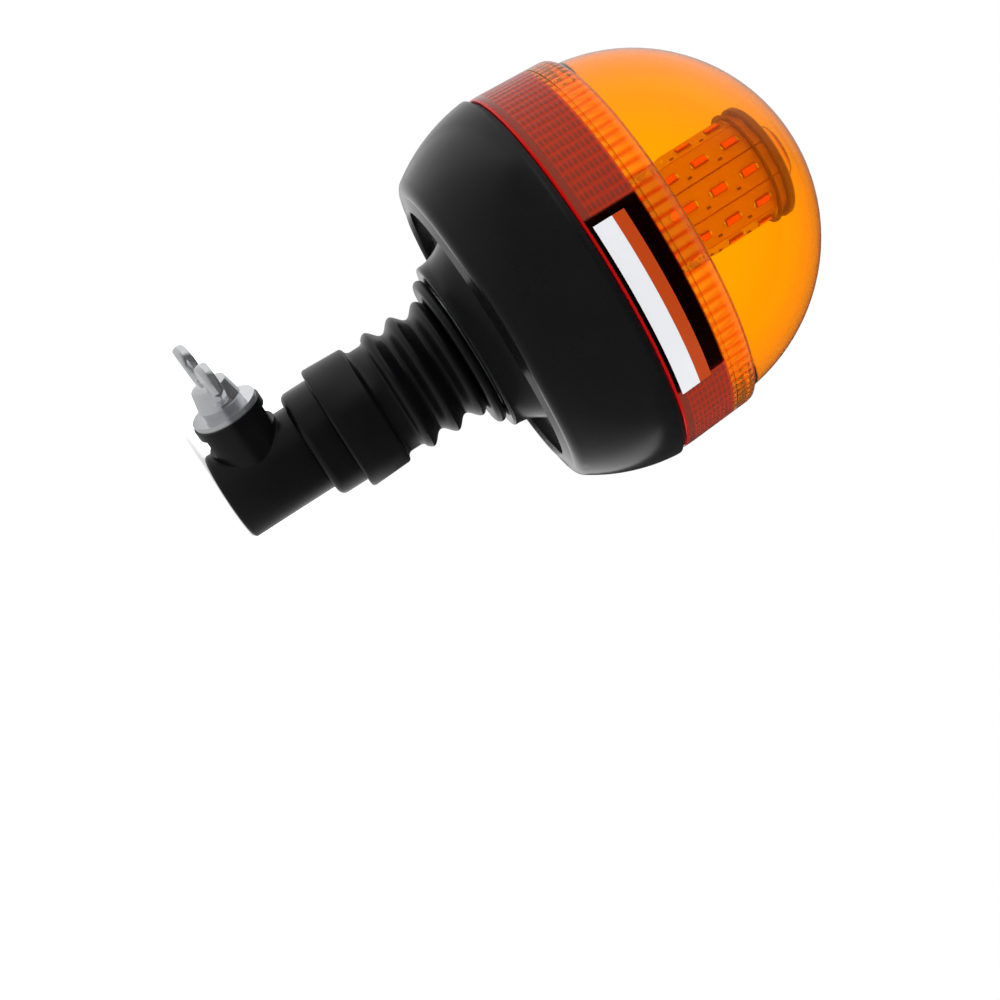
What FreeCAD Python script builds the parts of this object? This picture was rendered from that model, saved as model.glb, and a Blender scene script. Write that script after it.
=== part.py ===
import FreeCAD, Part
import math
import os
import Sketcher
from FreeCAD import Placement, Rotation, Vector

# Amber signal beacon on a flexible pole socket.
# The origin is the centre of the socket's open end and +Z runs up the beacon's axis
# to the top of the dome. All lengths are millimetres and all angles are degrees.

SIZES = {
    # socket tube, which slips over a 24 mm pole
    "pole_radius": (12.0, "pole spigot that the socket fits"),
    "pole_clearance": (0.1, "radial room round the pole"),
    "pole_depth": (40.0, "how far the pole goes in"),
    "seat_radius": (11.0, "well above the shoulder that the pole meets"),
    "contact_space": (4.0, "height of the well under the contact insulator"),
    "tube_radius": (16.4, "outside of the socket tube"),
    "tube_length": (32.1, "plain part of the tube"),
    "tube_chamfer": (0.7, "lead-in at the open end"),
    "groove_height": (0.4, "shadow line between tube and ring"),
    "groove_depth": (0.4, "depth of the shadow line"),
    "ring_radius": (20.3, "collar above the tube"),
    "ring_height": (10.7, "height of the collar"),
    "ring_corner": (2.6, "round at the collar's lower edge"),
    "spigot_radius": (17.6, "spigot inside the rubber sleeve"),
    "spigot_height": (14.5, "height of that spigot"),
    # centre contact
    "insulator_height": (4.0, "disc that closes the pole bore"),
    "insulator_neck": (6.0, "radius of the insulator's neck"),
    "insulator_length": (11.0, "height of the whole insulator"),
    "contact_radius": (3.0, "contact pin"),
    "contact_reach": (3.5, "pin below the insulator"),
    "contact_shoulder": (4.3, "radius of the pin's shoulder"),
    "contact_spring_wire": (0.5, "wire of the contact spring"),
    "contact_cap_height": (1.5, "disc over the contact spring"),
    # clamp screw
    "clamp_height": (15.7, "screw axis above the open end"),
    "clamp_angle": (210.0, "way the screw points, from +X"),
    "clamp_boss_radius": (12.6, "boss round the screw"),
    "clamp_boss_reach": (27.4, "boss face from the beacon axis"),
    "screw_radius": (4.0, "M8 thread, outside"),
    "thread_room": (0.05, "radial room between thread and nut"),
    "tip_room": (0.4, "screw tip short of the pole bore"),
    "nut_across": (13.0, "across the flats of the M8 nut"),
    "nut_height": (6.5, "height of the M8 nut"),
    "nut_inner_reach": (17.6, "inner face of the nut from the beacon axis"),
    "nut_room": (0.1, "room round the nut in its slot"),
    "flat_washer_radius": (12.0, "large flat washer"),
    "flat_washer_height": (2.0, "its thickness"),
    "spring_washer_radius": (7.4, "split lock washer"),
    "spring_washer_height": (2.0, "its thickness"),
    "washer_room": (0.3, "radial room round the thread in the washers"),
    "hub_radius": (8.0, "hub of the wing screw at its foot"),
    "hub_top_radius": (6.5, "hub of the wing screw at its top"),
    "hub_height": (9.0, "height of that hub"),
    "wing_span": (39.0, "over both wings"),
    "wing_height": (20.0, "from the hub's foot to the wing tips"),
    "wing_thickness": (4.6, "thickness of a wing"),
    "wing_ear": (5.6, "radius of a wing's ear"),
    "screw_hole_room": (0.4, "radial room round the thread in the boss"),
    "screw_tip_bevel": (0.8, "bevel of the screw's tip"),
    "hub_crown": (1.2, "height of the hub's crown"),
    "wing_root": (3.0, "wings start this far from the screw's axis"),
    "wing_root_height": (2.0, "and this far above the hub's foot"),
    "wing_sweep": (22.0, "long curve under a wing"),
    "wing_hollow": (9.0, "hollow between wing and hub"),
    "wing_angle": (10.0, "how far the tightened wings stand off the upright"),
    "spring_washer_split": (12.0, "gap of the split washer, as an angle"),
    "insulator_floor": (2.4, "floor of the insulator"),
    "contact_room": (0.08, "radial room round the contact pin"),
    "contact_lift": (0.1, "pin's shoulder above that floor"),
    "contact_shoulder_height": (1.4, "thickness of the shoulder"),
    "contact_guide": (1.0, "guide inside the contact spring"),
    "contact_guide_height": (1.6, "its height"),
    "contact_tip": (1.2, "height of the rounded tip"),
    "contact_spring_turns": (3.5, "turns of the contact spring"),
    # rubber stem
    "waist_radius": (20.1, "waist above the sleeve"),
    "waist_round": (2.0, "hollow round above the sleeve"),
    "rib_count": (3, "ribs"),
    "waist_top_round": (2.4, "hollow round under the lowest rib"),
    "stem_bore": (7.0, "cable way through the rubber"),
    "sleeve_gap": (0.3, "rubber sleeve above the collar"),
    "sleeve_height": (16.2, "straight sleeve at the foot"),
    "sleeve_radius": (23.5, "sleeve at its foot"),
    "sleeve_top_radius": (22.9, "sleeve at its top"),
    "sleeve_corner": (1.3, "rounds of the sleeve"),
    "sleeve_room": (0.15, "radial room over the spigot"),
    "rib_radius": (23.0, "crest of a rib"),
    "rib_root_radius": (19.2, "bottom of a groove"),
    "rib_pitch": (10.1, "crest to crest"),
    "first_rib_lift": (9.3, "crest of the lowest rib above the sleeve"),
    "flange_radius": (28.5, "rubber flange at the top"),
    "flange_height": (3.9, "its thickness"),
    "flange_lift": (0.275, "its underside above the highest rib"),
    # stud that hangs the head on the rubber
    "plate_radius": (24.5, "disc moulded into the rubber flange"),
    "plate_height": (2.0, "its thickness"),
    "rubber_room": (0.3, "room between rubber and what it meets"),
    "stud_radius": (8.0, "M16 hollow stud"),
    "stud_bore": (5.0, "cable way through the stud"),
    "stud_length": (17.0, "stud above its disc"),
    "stud_room": (0.3, "radial room round the stud"),
    "stud_washer_radius": (15.0, "washer under the stud's nut"),
    "stud_washer_height": (1.5, "its thickness"),
    "stud_nut_across": (24.0, "across the flats of the M16 nut"),
    "stud_nut_height": (8.0, "its height"),
    # moulded base
    "boss_radius": (32.0, "boss at its foot"),
    "boss_edge": (1.0, "round at its foot"),
    "boss_flare_radius": (37.0, "boss where it meets the underside"),
    "boss_flare_round": (15.0, "hollow round of that flare"),
    "boss_floor": (4.0, "floor of the boss"),
    "boss_wall_radius": (27.5, "inside of the boss"),
    "web_rise": (4.2, "recessed underside above the foot rim"),
    "wall": (3.0, "wall of the base"),
    "lip_width": (5.8, "width of the foot rim"),
    "lip_inset": (5.6, "foot rim's outside within the bowl's foot"),
    "lip_rise": (8.0, "lowest edge of the foot rim above the boss's foot"),
    "lip_outer_lift": (1.2, "how far the foot rim's outside stands higher"),
    "lip_round": (1.4, "round of the foot rim"),
    "bowl_taper": (10.8, "bowl's foot within its widest part"),
    "bowl_foot_rise": (3.2, "bowl's foot above the foot rim's outside"),
    "bowl_foot_round": (6.0, "round between foot rim and bowl"),
    "bowl_margin": (1.0, "bowl's widest part past the lens"),
    "bowl_round": (66.0, "long curve of the bowl's side"),
    "bowl_rim_wall": (4.8, "wall of the bowl under its rim"),
    "bowl_inner_drop": (9.0, "height of that point below the rim"),
    "bowl_edge": (1.0, "upright edge at the top of the bowl"),
    "bowl_height": (37.3, "lower edge of the lens above the foot rim"),
    "gasket_height": (1.4, "gasket between base and lens"),
    "gasket_inset": (0.7, "gasket's outside within the lens"),
    "seal_room": (0.3, "room above and below the gasket"),
    "collar_wall": (3.0, "wall of the threaded neck inside the lens"),
    "collar_height": (19.7, "neck above the seam"),
    "lug_inset": (6.3, "deck screws within the deck's edge"),
    "lug_radius": (5.0, "lug under each deck screw"),
    "lug_round": (5.6, "round end of a lug"),
    "lug_height": (14.0, "height of a lug"),
    "lug_count": (3, "lugs, deck screws, posts and board screws"),
    "post_inset": (10.0, "posts within the driver board's edge"),
    "post_radius": (4.0, "post under the driver board"),
    "post_height": (13.5, "height of a post"),
    "pilot_radius": (1.25, "pilot hole for a thread-forming screw"),
    "pilot_depth": (9.0, "depth of that hole"),
    # driver electronics
    "board_inset": (8.4, "driver board within the bowl's foot"),
    "board_thickness": (1.6, "every circuit board"),
    "capacitor_radius": (6.3, "smoothing capacitor"),
    "capacitor_room": (11.7, "room between its top and the deck"),
    "capacitor_reach": (26.0, "capacitors from the axis"),
    "can_edge": (1.0, "round of its top"),
    "inductor_size": (12.0, "side of the storage inductor"),
    "inductor_height": (7.5, "its height"),
    "terminal_reach": (30.0, "input terminal from the axis"),
    "terminal_width": (15.0, "input terminal block"),
    "terminal_depth": (10.0, "its depth"),
    "terminal_height": (12.0, "its height"),
    "chip_length": (9.0, "driver chip"),
    "chip_width": (6.0, "its width"),
    "chip_height": (1.7, "its height"),
    "block_edge": (0.5, "bevel of the blocks on the board"),
    "board_screw_length": (8.0, "shank of a board screw"),
    "cable_radius": (2.6, "supply cable up the stem"),
    "tower_cable_radius": (1.8, "cable up the tower"),
    # deck under the tower
    "deck_room": (0.5, "radial room round the deck plate"),
    "deck_thickness": (2.0, "its thickness"),
    "deck_drop": (1.0, "its upper face below the neck's top"),
    "deck_hole": (6.0, "cable hole in the deck"),
    "deck_screw_length": (10.0, "shank of a deck screw"),
    "deck_screw_head": (3.9, "radius of its pan head"),
    "deck_screw_head_height": (2.6, "height of its head"),
    "screw_slack": (0.2, "radial room round a screw in its hole"),
    # tower of light strips
    "strip_count": (10, "sides of the tower"),
    "strip_reach": (18.83, "face of a strip from the axis"),
    "strip_width": (11.5, "width of a strip"),
    "strip_thickness": (1.0, "thickness of a strip"),
    "tower_headroom": (3.8, "room between the tower's cap and the dome"),
    "strip_angle": (-81.4, "way that the first strip faces, from +X"),
    "core_wall": (2.0, "wall of the tower's core"),
    "core_flange_radius": (25.0, "foot of the core"),
    "core_flange_height": (2.0, "its thickness"),
    "core_screw_reach": (21.9, "foot screws from the axis"),
    "core_screw_radius": (1.4, "shank of a foot screw"),
    "core_screw_head": (2.4, "radius of its head"),
    "core_screw_head_height": (1.9, "height of its head"),
    "core_screw_length": (5.0, "length of its shank"),
    "led_rows": (4, "rows of diodes"),
    "led_foot": (9.8, "lowest row above the strip's foot"),
    "led_head": (8.9, "highest row below the strip's top"),
    "led_width": (3.0, "diode package"),
    "led_length": (5.7, "its length, upright"),
    "led_height": (0.9, "its height off the strip"),
    "led_well": (0.3, "depth of its phosphor well"),
    "led_rim": (0.4, "rim round the well"),
    "retainer_radius": (21.5, "ring that holds the strips' top ends"),
    "retainer_drop": (4.1, "its underside below the strips' tops"),
    "retainer_thickness": (0.8, "its thickness"),
    "retainer_room": (0.1, "radial room round the strips' corners"),
    "cap_radius": (21.5, "cap on the tower"),
    "cap_height": (2.7, "its thickness"),
    "cap_edge": (0.6, "bevel of the cap"),
    # lens
    "lens_radius": (70.2, "lens at its lower edge"),
    "lens_rim_height": (3.3, "plain rim above the lower edge"),
    "skirt_wall": (3.8, "wall of the lens at its lower edge"),
    "band_height": (27.1, "band of the lens, with its rim"),
    "band_taper": (1.5, "how far the band draws in"),
    "band_line_height": (21.15, "groove round the band, above the lower edge"),
    "band_line": (0.3, "half width and depth of that groove"),
    "flute_count": (110, "flutes round the band"),
    "flute_gap": (0.45, "width of the grooves between the flutes"),
    "flute_depth": (0.25, "their depth"),
    "flute_end": (0.6, "flutes stop this far off the rim and the groove"),
    "panel_flute_count": (17, "flutes that the plain panel takes the place of"),
    "panel_end_angle": (-39.5, "right end of the panel, from +X"),
    "shoulder_step": (3.1, "how far the shoulder steps in"),
    "shoulder_height": (3.0, "height of the shoulder"),
    "shoulder_round": (3.4, "round of the shoulder"),
    "dome_swell": (0.4, "sphere of the dome past the shoulder"),
    "dome_wall": (2.6, "wall of the dome"),
    "lens_room": (0.6, "radial room between lens and neck"),
    "skirt_drop": (7.4, "top of the straight skirt below the shoulder's"),
    "inner_step": (5.5, "inside of the dome starts this far over its centre"),
    "gate_radius": (10.0, "round pad inside the dome's top"),
    "gate_height": (0.7, "its thickness"),
    "foil_angle": (53.5, "bare foil on the panel"),
    "foil_centre_angle": (-65.5, "middle of that foil, from +X"),
    "foil_lift": (2.4, "lower edge of the foil above the lens's"),
    "foil_height": (11.3, "height of the foil"),
    "foil_thickness": (0.15, "thickness of the foil"),
    "foil_room": (0.02, "glue line under the foil"),
}

doc = FreeCAD.newDocument("Beacon")
sheet = doc.addObject("Spreadsheet::Sheet", "dims")


class Size:
    """A value together with its formula in the sheet."""

    def __init__(self, value, formula):
        self.value = value
        self.formula = formula

    def join(self, other, sign, value):
        return Size(value, "(%s %s %s)" % (self.formula, sign, as_size(other).formula))

    def __add__(self, other):
        return self.join(other, "+", self.value + as_size(other).value)

    def __sub__(self, other):
        return self.join(other, "-", self.value - as_size(other).value)

    def __mul__(self, other):
        return self.join(other, "*", self.value * as_size(other).value)

    def __truediv__(self, other):
        return self.join(other, "/", self.value / as_size(other).value)

    def __radd__(self, other):
        return as_size(other) + self

    def __rsub__(self, other):
        return as_size(other) - self

    def __rmul__(self, other):
        return as_size(other) * self

    def __rtruediv__(self, other):
        return as_size(other) / self

    def __neg__(self):
        return 0 - self


def as_size(value):
    if isinstance(value, Size):
        return value
    return Size(float(value), "%g" % value)


def root(size):
    return Size(math.sqrt(size.value), "sqrt(%s)" % size.formula)


def cosine(angle):
    angle = as_size(angle)
    return Size(math.cos(math.radians(angle.value)), "cos(%s)" % angle.formula)


def sine(angle):
    angle = as_size(angle)
    return Size(math.sin(math.radians(angle.value)), "sin(%s)" % angle.formula)


def crown_radius(radius, rise):
    """Sphere of a crown that stands rise high over a circle."""
    return (radius * radius + rise * rise) / (2 * rise)


class Sizes:
    """Every cell of the sheet as an attribute."""


d = Sizes()
for row, (alias, (value, note)) in enumerate(SIZES.items(), start=1):
    sheet.set("A%d" % row, alias)
    sheet.set("B%d" % row, str(value))
    sheet.set("C%d" % row, note)
    sheet.setAlias("B%d" % row, alias)
    setattr(d, alias, Size(float(value), "dims.%s" % alias))
doc.recompute()

PARTS = []


def is_bound(size):
    return "dims." in size.formula


def bind(thing, name, size):
    size = as_size(size)
    if is_bound(size):
        thing.setExpression(name, size.formula)
    else:
        setattr(thing, name, size.value)


def move_to(thing, name, x, y, z, turn):
    """Sets a Placement and ties its three lengths to the sheet."""
    places = {"x": as_size(x), "y": as_size(y), "z": as_size(z)}
    base = Vector(places["x"].value, places["y"].value, places["z"].value)
    setattr(thing, name, Placement(base, turn))
    for axis, size in places.items():
        if is_bound(size):
            thing.setExpression("%s.Base.%s" % (name, axis), size.formula)


def new_body(label):
    body = doc.addObject("PartDesign::Body", label)
    body.Label = label
    PARTS.append(body)
    return body


def origin_part(body, role):
    return [item for item in body.Origin.OriginFeatures if item.Role == role][0]


def new_sketch(body, plane="XY_Plane", x=0, y=0, z=0, turn=None):
    sketch = body.newObject("Sketcher::SketchObject", body.Name + "_sketch")
    sketch.AttachmentSupport = [(origin_part(body, plane), "")]
    sketch.MapMode = "FlatFace"
    move_to(sketch, "AttachmentOffset", x, y, z, turn or Rotation())
    return sketch


def pin_point(sketch, piece, end, x, y):
    """Holds a point at (x, y) from the sketch's origin, where axis -1 is level and -2 upright."""
    for kind, size, axis in (("DistanceX", x, -2), ("DistanceY", y, -1)):
        size = as_size(size)
        if is_bound(size) or size.value != 0:
            rule = Sketcher.Constraint(kind, -1, 1, piece, end, size.value)
            number = sketch.addConstraint(rule)
            if is_bound(size):
                sketch.setExpression("Constraints[%d]" % number, size.formula)
        else:
            sketch.addConstraint(Sketcher.Constraint("PointOnObject", piece, end, axis))


def hold_radius(sketch, piece, radius):
    radius = as_size(radius)
    number = sketch.addConstraint(Sketcher.Constraint("Radius", piece, radius.value))
    if is_bound(radius):
        sketch.setExpression("Constraints[%d]" % number, radius.formula)


def outline(sketch, points):
    """Closed outline. A point is (x, y), or (x, y, radius, side) where an arc ends there.

    Side 1 bows to the left of the way that the outline goes, and -1 to the right.
    """
    pieces = []
    for start, end in zip(points, points[1:] + points[:1]):
        first = Vector(as_size(start[0]).value, as_size(start[1]).value, 0)
        last = Vector(as_size(end[0]).value, as_size(end[1]).value, 0)
        if len(end) == 2:
            number = sketch.addGeometry(Part.LineSegment(first, last))
        else:
            chord = last - first
            radius = as_size(end[2]).value
            rise = radius - math.sqrt(max(radius ** 2 - (chord.Length / 2) ** 2, 0))
            across = Vector(-chord.y, chord.x, 0).normalize() * (end[3] * rise)
            number = sketch.addGeometry(Part.Arc(first, (first + last) * 0.5 + across, last))
            hold_radius(sketch, number, end[2])
        runs_on = (sketch.getPoint(number, 1) - first).Length < 1e-6
        pieces.append((number, 1, 2) if runs_on else (number, 2, 1))
    for index, (number, first_end, last_end) in enumerate(pieces):
        after = pieces[(index + 1) % len(pieces)]
        rule = Sketcher.Constraint("Coincident", number, last_end, after[0], after[1])
        sketch.addConstraint(rule)
        pin_point(sketch, number, first_end, points[index][0], points[index][1])
    return sketch


def rectangle(sketch, x, y, width, height):
    """Rectangle about the centre (x, y)."""
    left = x - as_size(width) / 2
    right = x + as_size(width) / 2
    low = y - as_size(height) / 2
    high = y + as_size(height) / 2
    return outline(sketch, [(left, low), (right, low), (right, high), (left, high)])


def circle(sketch, x, y, radius):
    place = Vector(as_size(x).value, as_size(y).value, 0)
    shape = Part.Circle(place, Vector(0, 0, 1), as_size(radius).value)
    number = sketch.addGeometry(shape)
    hold_radius(sketch, number, radius)
    pin_point(sketch, number, 3, x, y)
    return sketch


def polygon(sketch, sides, reach):
    """Regular polygon with its flats at reach, the first of them facing local +X."""
    corner = reach / cosine(180 / sides)
    points = []
    for index in range(sides):
        angle = 360 * (index - 0.5) / sides
        points.append((corner * cosine(angle), corner * sine(angle)))
    return outline(sketch, points)


def revolve(body, sketch, angle=360):
    feature = body.newObject("PartDesign::Revolution", body.Name + "_turned")
    feature.Profile = sketch
    feature.ReferenceAxis = (sketch, ["V_Axis"])
    feature.Midplane = angle != 360
    bind(feature, "Angle", angle)
    return feature


def pad(body, sketch, length, symmetric=False):
    feature = body.newObject("PartDesign::Pad", body.Name + "_pad")
    feature.Profile = sketch
    feature.SideType = "Symmetric" if symmetric else "One side"
    bind(feature, "Length", length)
    return feature


def pocket(body, sketch, length, upward=False, symmetric=False):
    feature = body.newObject("PartDesign::Pocket", body.Name + "_pocket")
    feature.Profile = sketch
    feature.SideType = "Symmetric" if symmetric else "One side"
    feature.Reversed = upward
    bind(feature, "Length", length)
    return feature


def repeat(body, features, count, angle=360):
    pattern = body.newObject("PartDesign::PolarPattern", body.Name + "_pattern")
    pattern.Originals = features
    pattern.Axis = (origin_part(body, "Z_Axis"), [""])
    bind(pattern, "Angle", angle)
    bind(pattern, "Occurrences", count)
    body.Tip = pattern
    return pattern


def soften(body, feature, size, wanted, kind="Fillet"):
    """Rounds or bevels the edges that the rule picks."""
    doc.recompute()
    names = []
    for number, edge in enumerate(feature.Shape.Edges, start=1):
        if wanted(edge):
            names.append("Edge%d" % number)
    softened = body.newObject("PartDesign::" + kind, body.Name + "_edge")
    softened.Base = (feature, names)
    bind(softened, "Radius" if kind == "Fillet" else "Size", size)
    return softened


def lathe(label, points):
    """Body turned about Z from one outline in the XZ plane."""
    body = new_body(label)
    revolve(body, outline(new_sketch(body, "XZ_Plane"), points))
    return body


def ring(label, inner, outer, bottom, height):
    top = bottom + height
    return lathe(label, [(inner, bottom), (outer, bottom), (outer, top), (inner, top)])


def group(label, members):
    """Several loose solids that share one node."""
    compound = doc.addObject("Part::Compound", label)
    compound.Label = label
    compound.Links = members
    for member in members:
        PARTS.remove(member)
    PARTS.append(compound)
    return compound


def around(reach, index, count, start=0):
    """Place number index of count round the axis."""
    angle = start + 360 * index / as_size(count)
    return reach * cosine(angle), reach * sine(angle)


SLOT_SHARE = 0.35


def screw(label, x, y, seat, shank, length, head, head_height):
    """Pan head screw that stands on its seat and runs down from it."""
    body = lathe(label, [
        (0, -length),
        (shank, -length),
        (shank, 0),
        (head, 0),
        (head, head_height / 2),
        (head / 2, head_height, head, -1),
        (head * SLOT_SHARE, head_height),
        (head * SLOT_SHARE, head_height / 2),
        (0, head_height / 2),
    ])
    move_to(body, "Placement", x, y, seat, Rotation())
    return body


def screw_circle(label, reach, seat, shank, length, head, head_height, start=0):
    """One screw at each lug or post."""
    members = []
    for index in range(int(d.lug_count.value)):
        x, y = around(reach, index, d.lug_count, start)
        name = "%s_%d" % (label, index + 1)
        members.append(screw(name, x, y, seat, shank, length, head, head_height))
    return group(label, members)


# Places that several pieces share

bore = d.pole_radius + d.pole_clearance
ring_bottom = d.tube_length + d.groove_height
ring_top = ring_bottom + d.ring_height
spigot_top = ring_top + d.spigot_height
sleeve_bottom = ring_top + d.sleeve_gap
sleeve_top = sleeve_bottom + d.sleeve_height
first_rib = sleeve_top + d.first_rib_lift
last_rib = first_rib + (d.rib_count - 1) * d.rib_pitch
flange_bottom = last_rib + d.rib_pitch / 4 + d.flange_lift
flange_top = flange_bottom + d.flange_height
boss_bottom = flange_top + d.rubber_room
boss_inside = boss_bottom + d.boss_floor
plate_bottom = boss_bottom - d.plate_height
lip_bottom = boss_bottom + d.lip_rise
web_bottom = lip_bottom + d.web_rise
web_top = web_bottom + d.wall
lip_outer = lip_bottom + d.lip_outer_lift
seam = lip_bottom + d.bowl_height
rim_top = seam - d.gasket_height - 2 * d.seal_room
gasket_bottom = rim_top + d.seal_room
skirt_radius = d.lens_radius - d.skirt_wall
collar_radius = skirt_radius - d.lens_room
collar_inside = collar_radius - d.collar_wall
collar_top = seam + d.collar_height
bowl_radius = d.lens_radius + d.bowl_margin
bowl_foot_radius = bowl_radius - d.bowl_taper
lip_radius = bowl_foot_radius - d.lip_inset
lip_inner_radius = lip_radius - d.lip_width
board_bottom = web_top + d.post_height
board_top = board_bottom + d.board_thickness
board_radius = bowl_foot_radius - d.board_inset
post_reach = board_radius - d.post_inset
deck_top = collar_top - d.deck_drop
deck_bottom = deck_top - d.deck_thickness
deck_radius = collar_inside - d.deck_room
lug_reach = deck_radius - d.lug_inset
lens_rim_top = seam + d.lens_rim_height
band_top = seam + d.band_height
band_radius = d.lens_radius - d.band_taper
band_slope = d.band_taper / (d.band_height - d.lens_rim_height)
shoulder_radius = band_radius - d.shoulder_step
lens_shoulder = band_top + d.shoulder_height
dome_radius = shoulder_radius + d.dome_swell
inner_dome = dome_radius - d.dome_wall
dome_centre = lens_shoulder - root(dome_radius * dome_radius - shoulder_radius * shoulder_radius)
over_cap = dome_centre + root(inner_dome * inner_dome - d.cap_radius * d.cap_radius)
strip_bottom = deck_top + d.core_flange_height
strip_top = over_cap - d.tower_headroom - d.cap_height
led_first = strip_bottom + d.led_foot
led_pitch = (strip_top - d.led_head - led_first) / (d.led_rows - 1)
retainer_bottom = strip_top - d.retainer_drop
core_reach = d.strip_reach - d.strip_thickness
strip_corner = root(d.strip_reach * d.strip_reach + d.strip_width * d.strip_width / 4)
retainer_inner = strip_corner + d.retainer_room
washer_face = d.clamp_boss_reach + d.flat_washer_height
hub_foot = washer_face + d.spring_washer_height
insulator_bottom = d.pole_depth + d.contact_space
shelf = insulator_bottom + d.insulator_height
insulator_top = insulator_bottom + d.insulator_length
contact_cap_bottom = insulator_top - d.contact_cap_height
chamber_radius = d.contact_shoulder + d.contact_room
chamber_bottom = insulator_bottom + d.insulator_floor
shoulder_bottom = chamber_bottom + d.contact_lift
shoulder_top = shoulder_bottom + d.contact_shoulder_height


def clamp_turn():
    """Turns local +Z to the way that the clamp screw points, and local X to down."""
    return Rotation(d.clamp_angle.value, 90, 0)


def clamp_sketch(body, reach):
    x = reach * cosine(d.clamp_angle)
    y = reach * sine(d.clamp_angle)
    return new_sketch(body, "XY_Plane", x, y, d.clamp_height, clamp_turn())


def place_on_clamp(body, spin=0):
    """Puts a body on the clamp screw's axis, turned about that axis."""
    turn = clamp_turn() * Rotation(Vector(0, 0, 1), spin)
    move_to(body, "Placement", 0, 0, d.clamp_height, turn)


def make_socket_tube():
    body = lathe("socket_tube", [
        (bore, 0),
        (d.tube_radius - d.tube_chamfer, 0),
        (d.tube_radius, d.tube_chamfer),
        (d.tube_radius, d.tube_length),
        (d.tube_radius - d.groove_depth, d.tube_length),
        (d.tube_radius - d.groove_depth, ring_bottom),
        (d.ring_radius - d.ring_corner, ring_bottom),
        (d.ring_radius, ring_bottom + d.ring_corner, d.ring_corner, -1),
        (d.ring_radius, ring_top),
        (d.spigot_radius, ring_top),
        (d.spigot_radius, spigot_top),
        (d.insulator_neck, spigot_top),
        (d.insulator_neck, shelf),
        (d.seat_radius, shelf),
        (d.seat_radius, d.pole_depth),
        (bore, d.pole_depth),
    ])
    boss = clamp_sketch(body, 0)
    circle(boss, 0, 0, d.clamp_boss_radius)
    pad(body, boss, d.clamp_boss_reach)
    # The boss starts at the axis, so the pole's way is cleared once more.
    way = new_sketch(body)
    circle(way, 0, 0, bore)
    pocket(body, way, d.pole_depth, upward=True)
    hole = clamp_sketch(body, 0)
    circle(hole, 0, 0, d.screw_radius + d.screw_hole_room)
    pocket(body, hole, d.clamp_boss_reach, upward=True)
    slot = clamp_sketch(body, d.nut_inner_reach - d.nut_room)
    slot_width = d.nut_across + 2 * d.nut_room
    rectangle(slot, 0, 0, 2 * d.clamp_boss_radius, slot_width)
    pocket(body, slot, d.nut_height + 2 * d.nut_room, upward=True)
    return body


def make_contact():
    floor_hole = d.contact_radius + d.contact_room
    lathe("contact_insulator", [
        (floor_hole, insulator_bottom),
        (d.seat_radius, insulator_bottom),
        (d.seat_radius, shelf),
        (d.insulator_neck, shelf),
        (d.insulator_neck, insulator_top),
        (chamber_radius, insulator_top),
        (chamber_radius, chamber_bottom),
        (floor_hole, chamber_bottom),
    ])
    tip = insulator_bottom - d.contact_reach
    lathe("contact_pin", [
        (0, tip),
        (d.contact_radius, tip + d.contact_tip, crown_radius(d.contact_radius, d.contact_tip), -1),
        (d.contact_radius, shoulder_bottom),
        (d.contact_shoulder, shoulder_bottom),
        (d.contact_shoulder, shoulder_top),
        (d.contact_guide, shoulder_top),
        (d.contact_guide, shoulder_top + d.contact_guide_height),
        (0, shoulder_top + d.contact_guide_height),
    ])
    ring("contact_cap", d.contact_guide, chamber_radius, contact_cap_bottom, d.contact_cap_height)
    body = new_body("contact_spring")
    wire = d.contact_spring_wire / 2
    coil_radius = d.contact_shoulder - wire * 2
    low = shoulder_top + wire * 2
    section = circle(new_sketch(body, "XZ_Plane"), coil_radius, low, wire)
    coil = body.newObject("PartDesign::AdditiveHelix", "contact_coil")
    coil.Profile = section
    coil.ReferenceAxis = (section, ["V_Axis"])
    coil.Mode = "height-turns-angle"
    coil.Turns = d.contact_spring_turns.value
    bind(coil, "Height", contact_cap_bottom - low - wire * 2)


def make_clamp_screw():
    nut = new_body("captive_nut")
    section = polygon(new_sketch(nut, z=d.nut_inner_reach), 6, d.nut_across / 2)
    circle(section, 0, 0, d.screw_radius)
    pad(nut, section, d.nut_height)
    # Two flats face sideways, so that the nut slides into its slot along the tube.
    place_on_clamp(nut, 30)
    washer_hole = d.screw_radius + d.washer_room
    washer = ring(
        "flat_washer", washer_hole, d.flat_washer_radius,
        d.clamp_boss_reach, d.flat_washer_height,
    )
    place_on_clamp(washer)
    split = new_body("spring_washer")
    section = new_sketch(split, "XZ_Plane")
    middle = (washer_hole + d.spring_washer_radius) / 2
    height = d.spring_washer_height
    rectangle(section, middle, washer_face + height / 2, d.spring_washer_radius - washer_hole, height)
    revolve(split, section, 360 - d.spring_washer_split)
    place_on_clamp(split)
    make_wing_screw()


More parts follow.
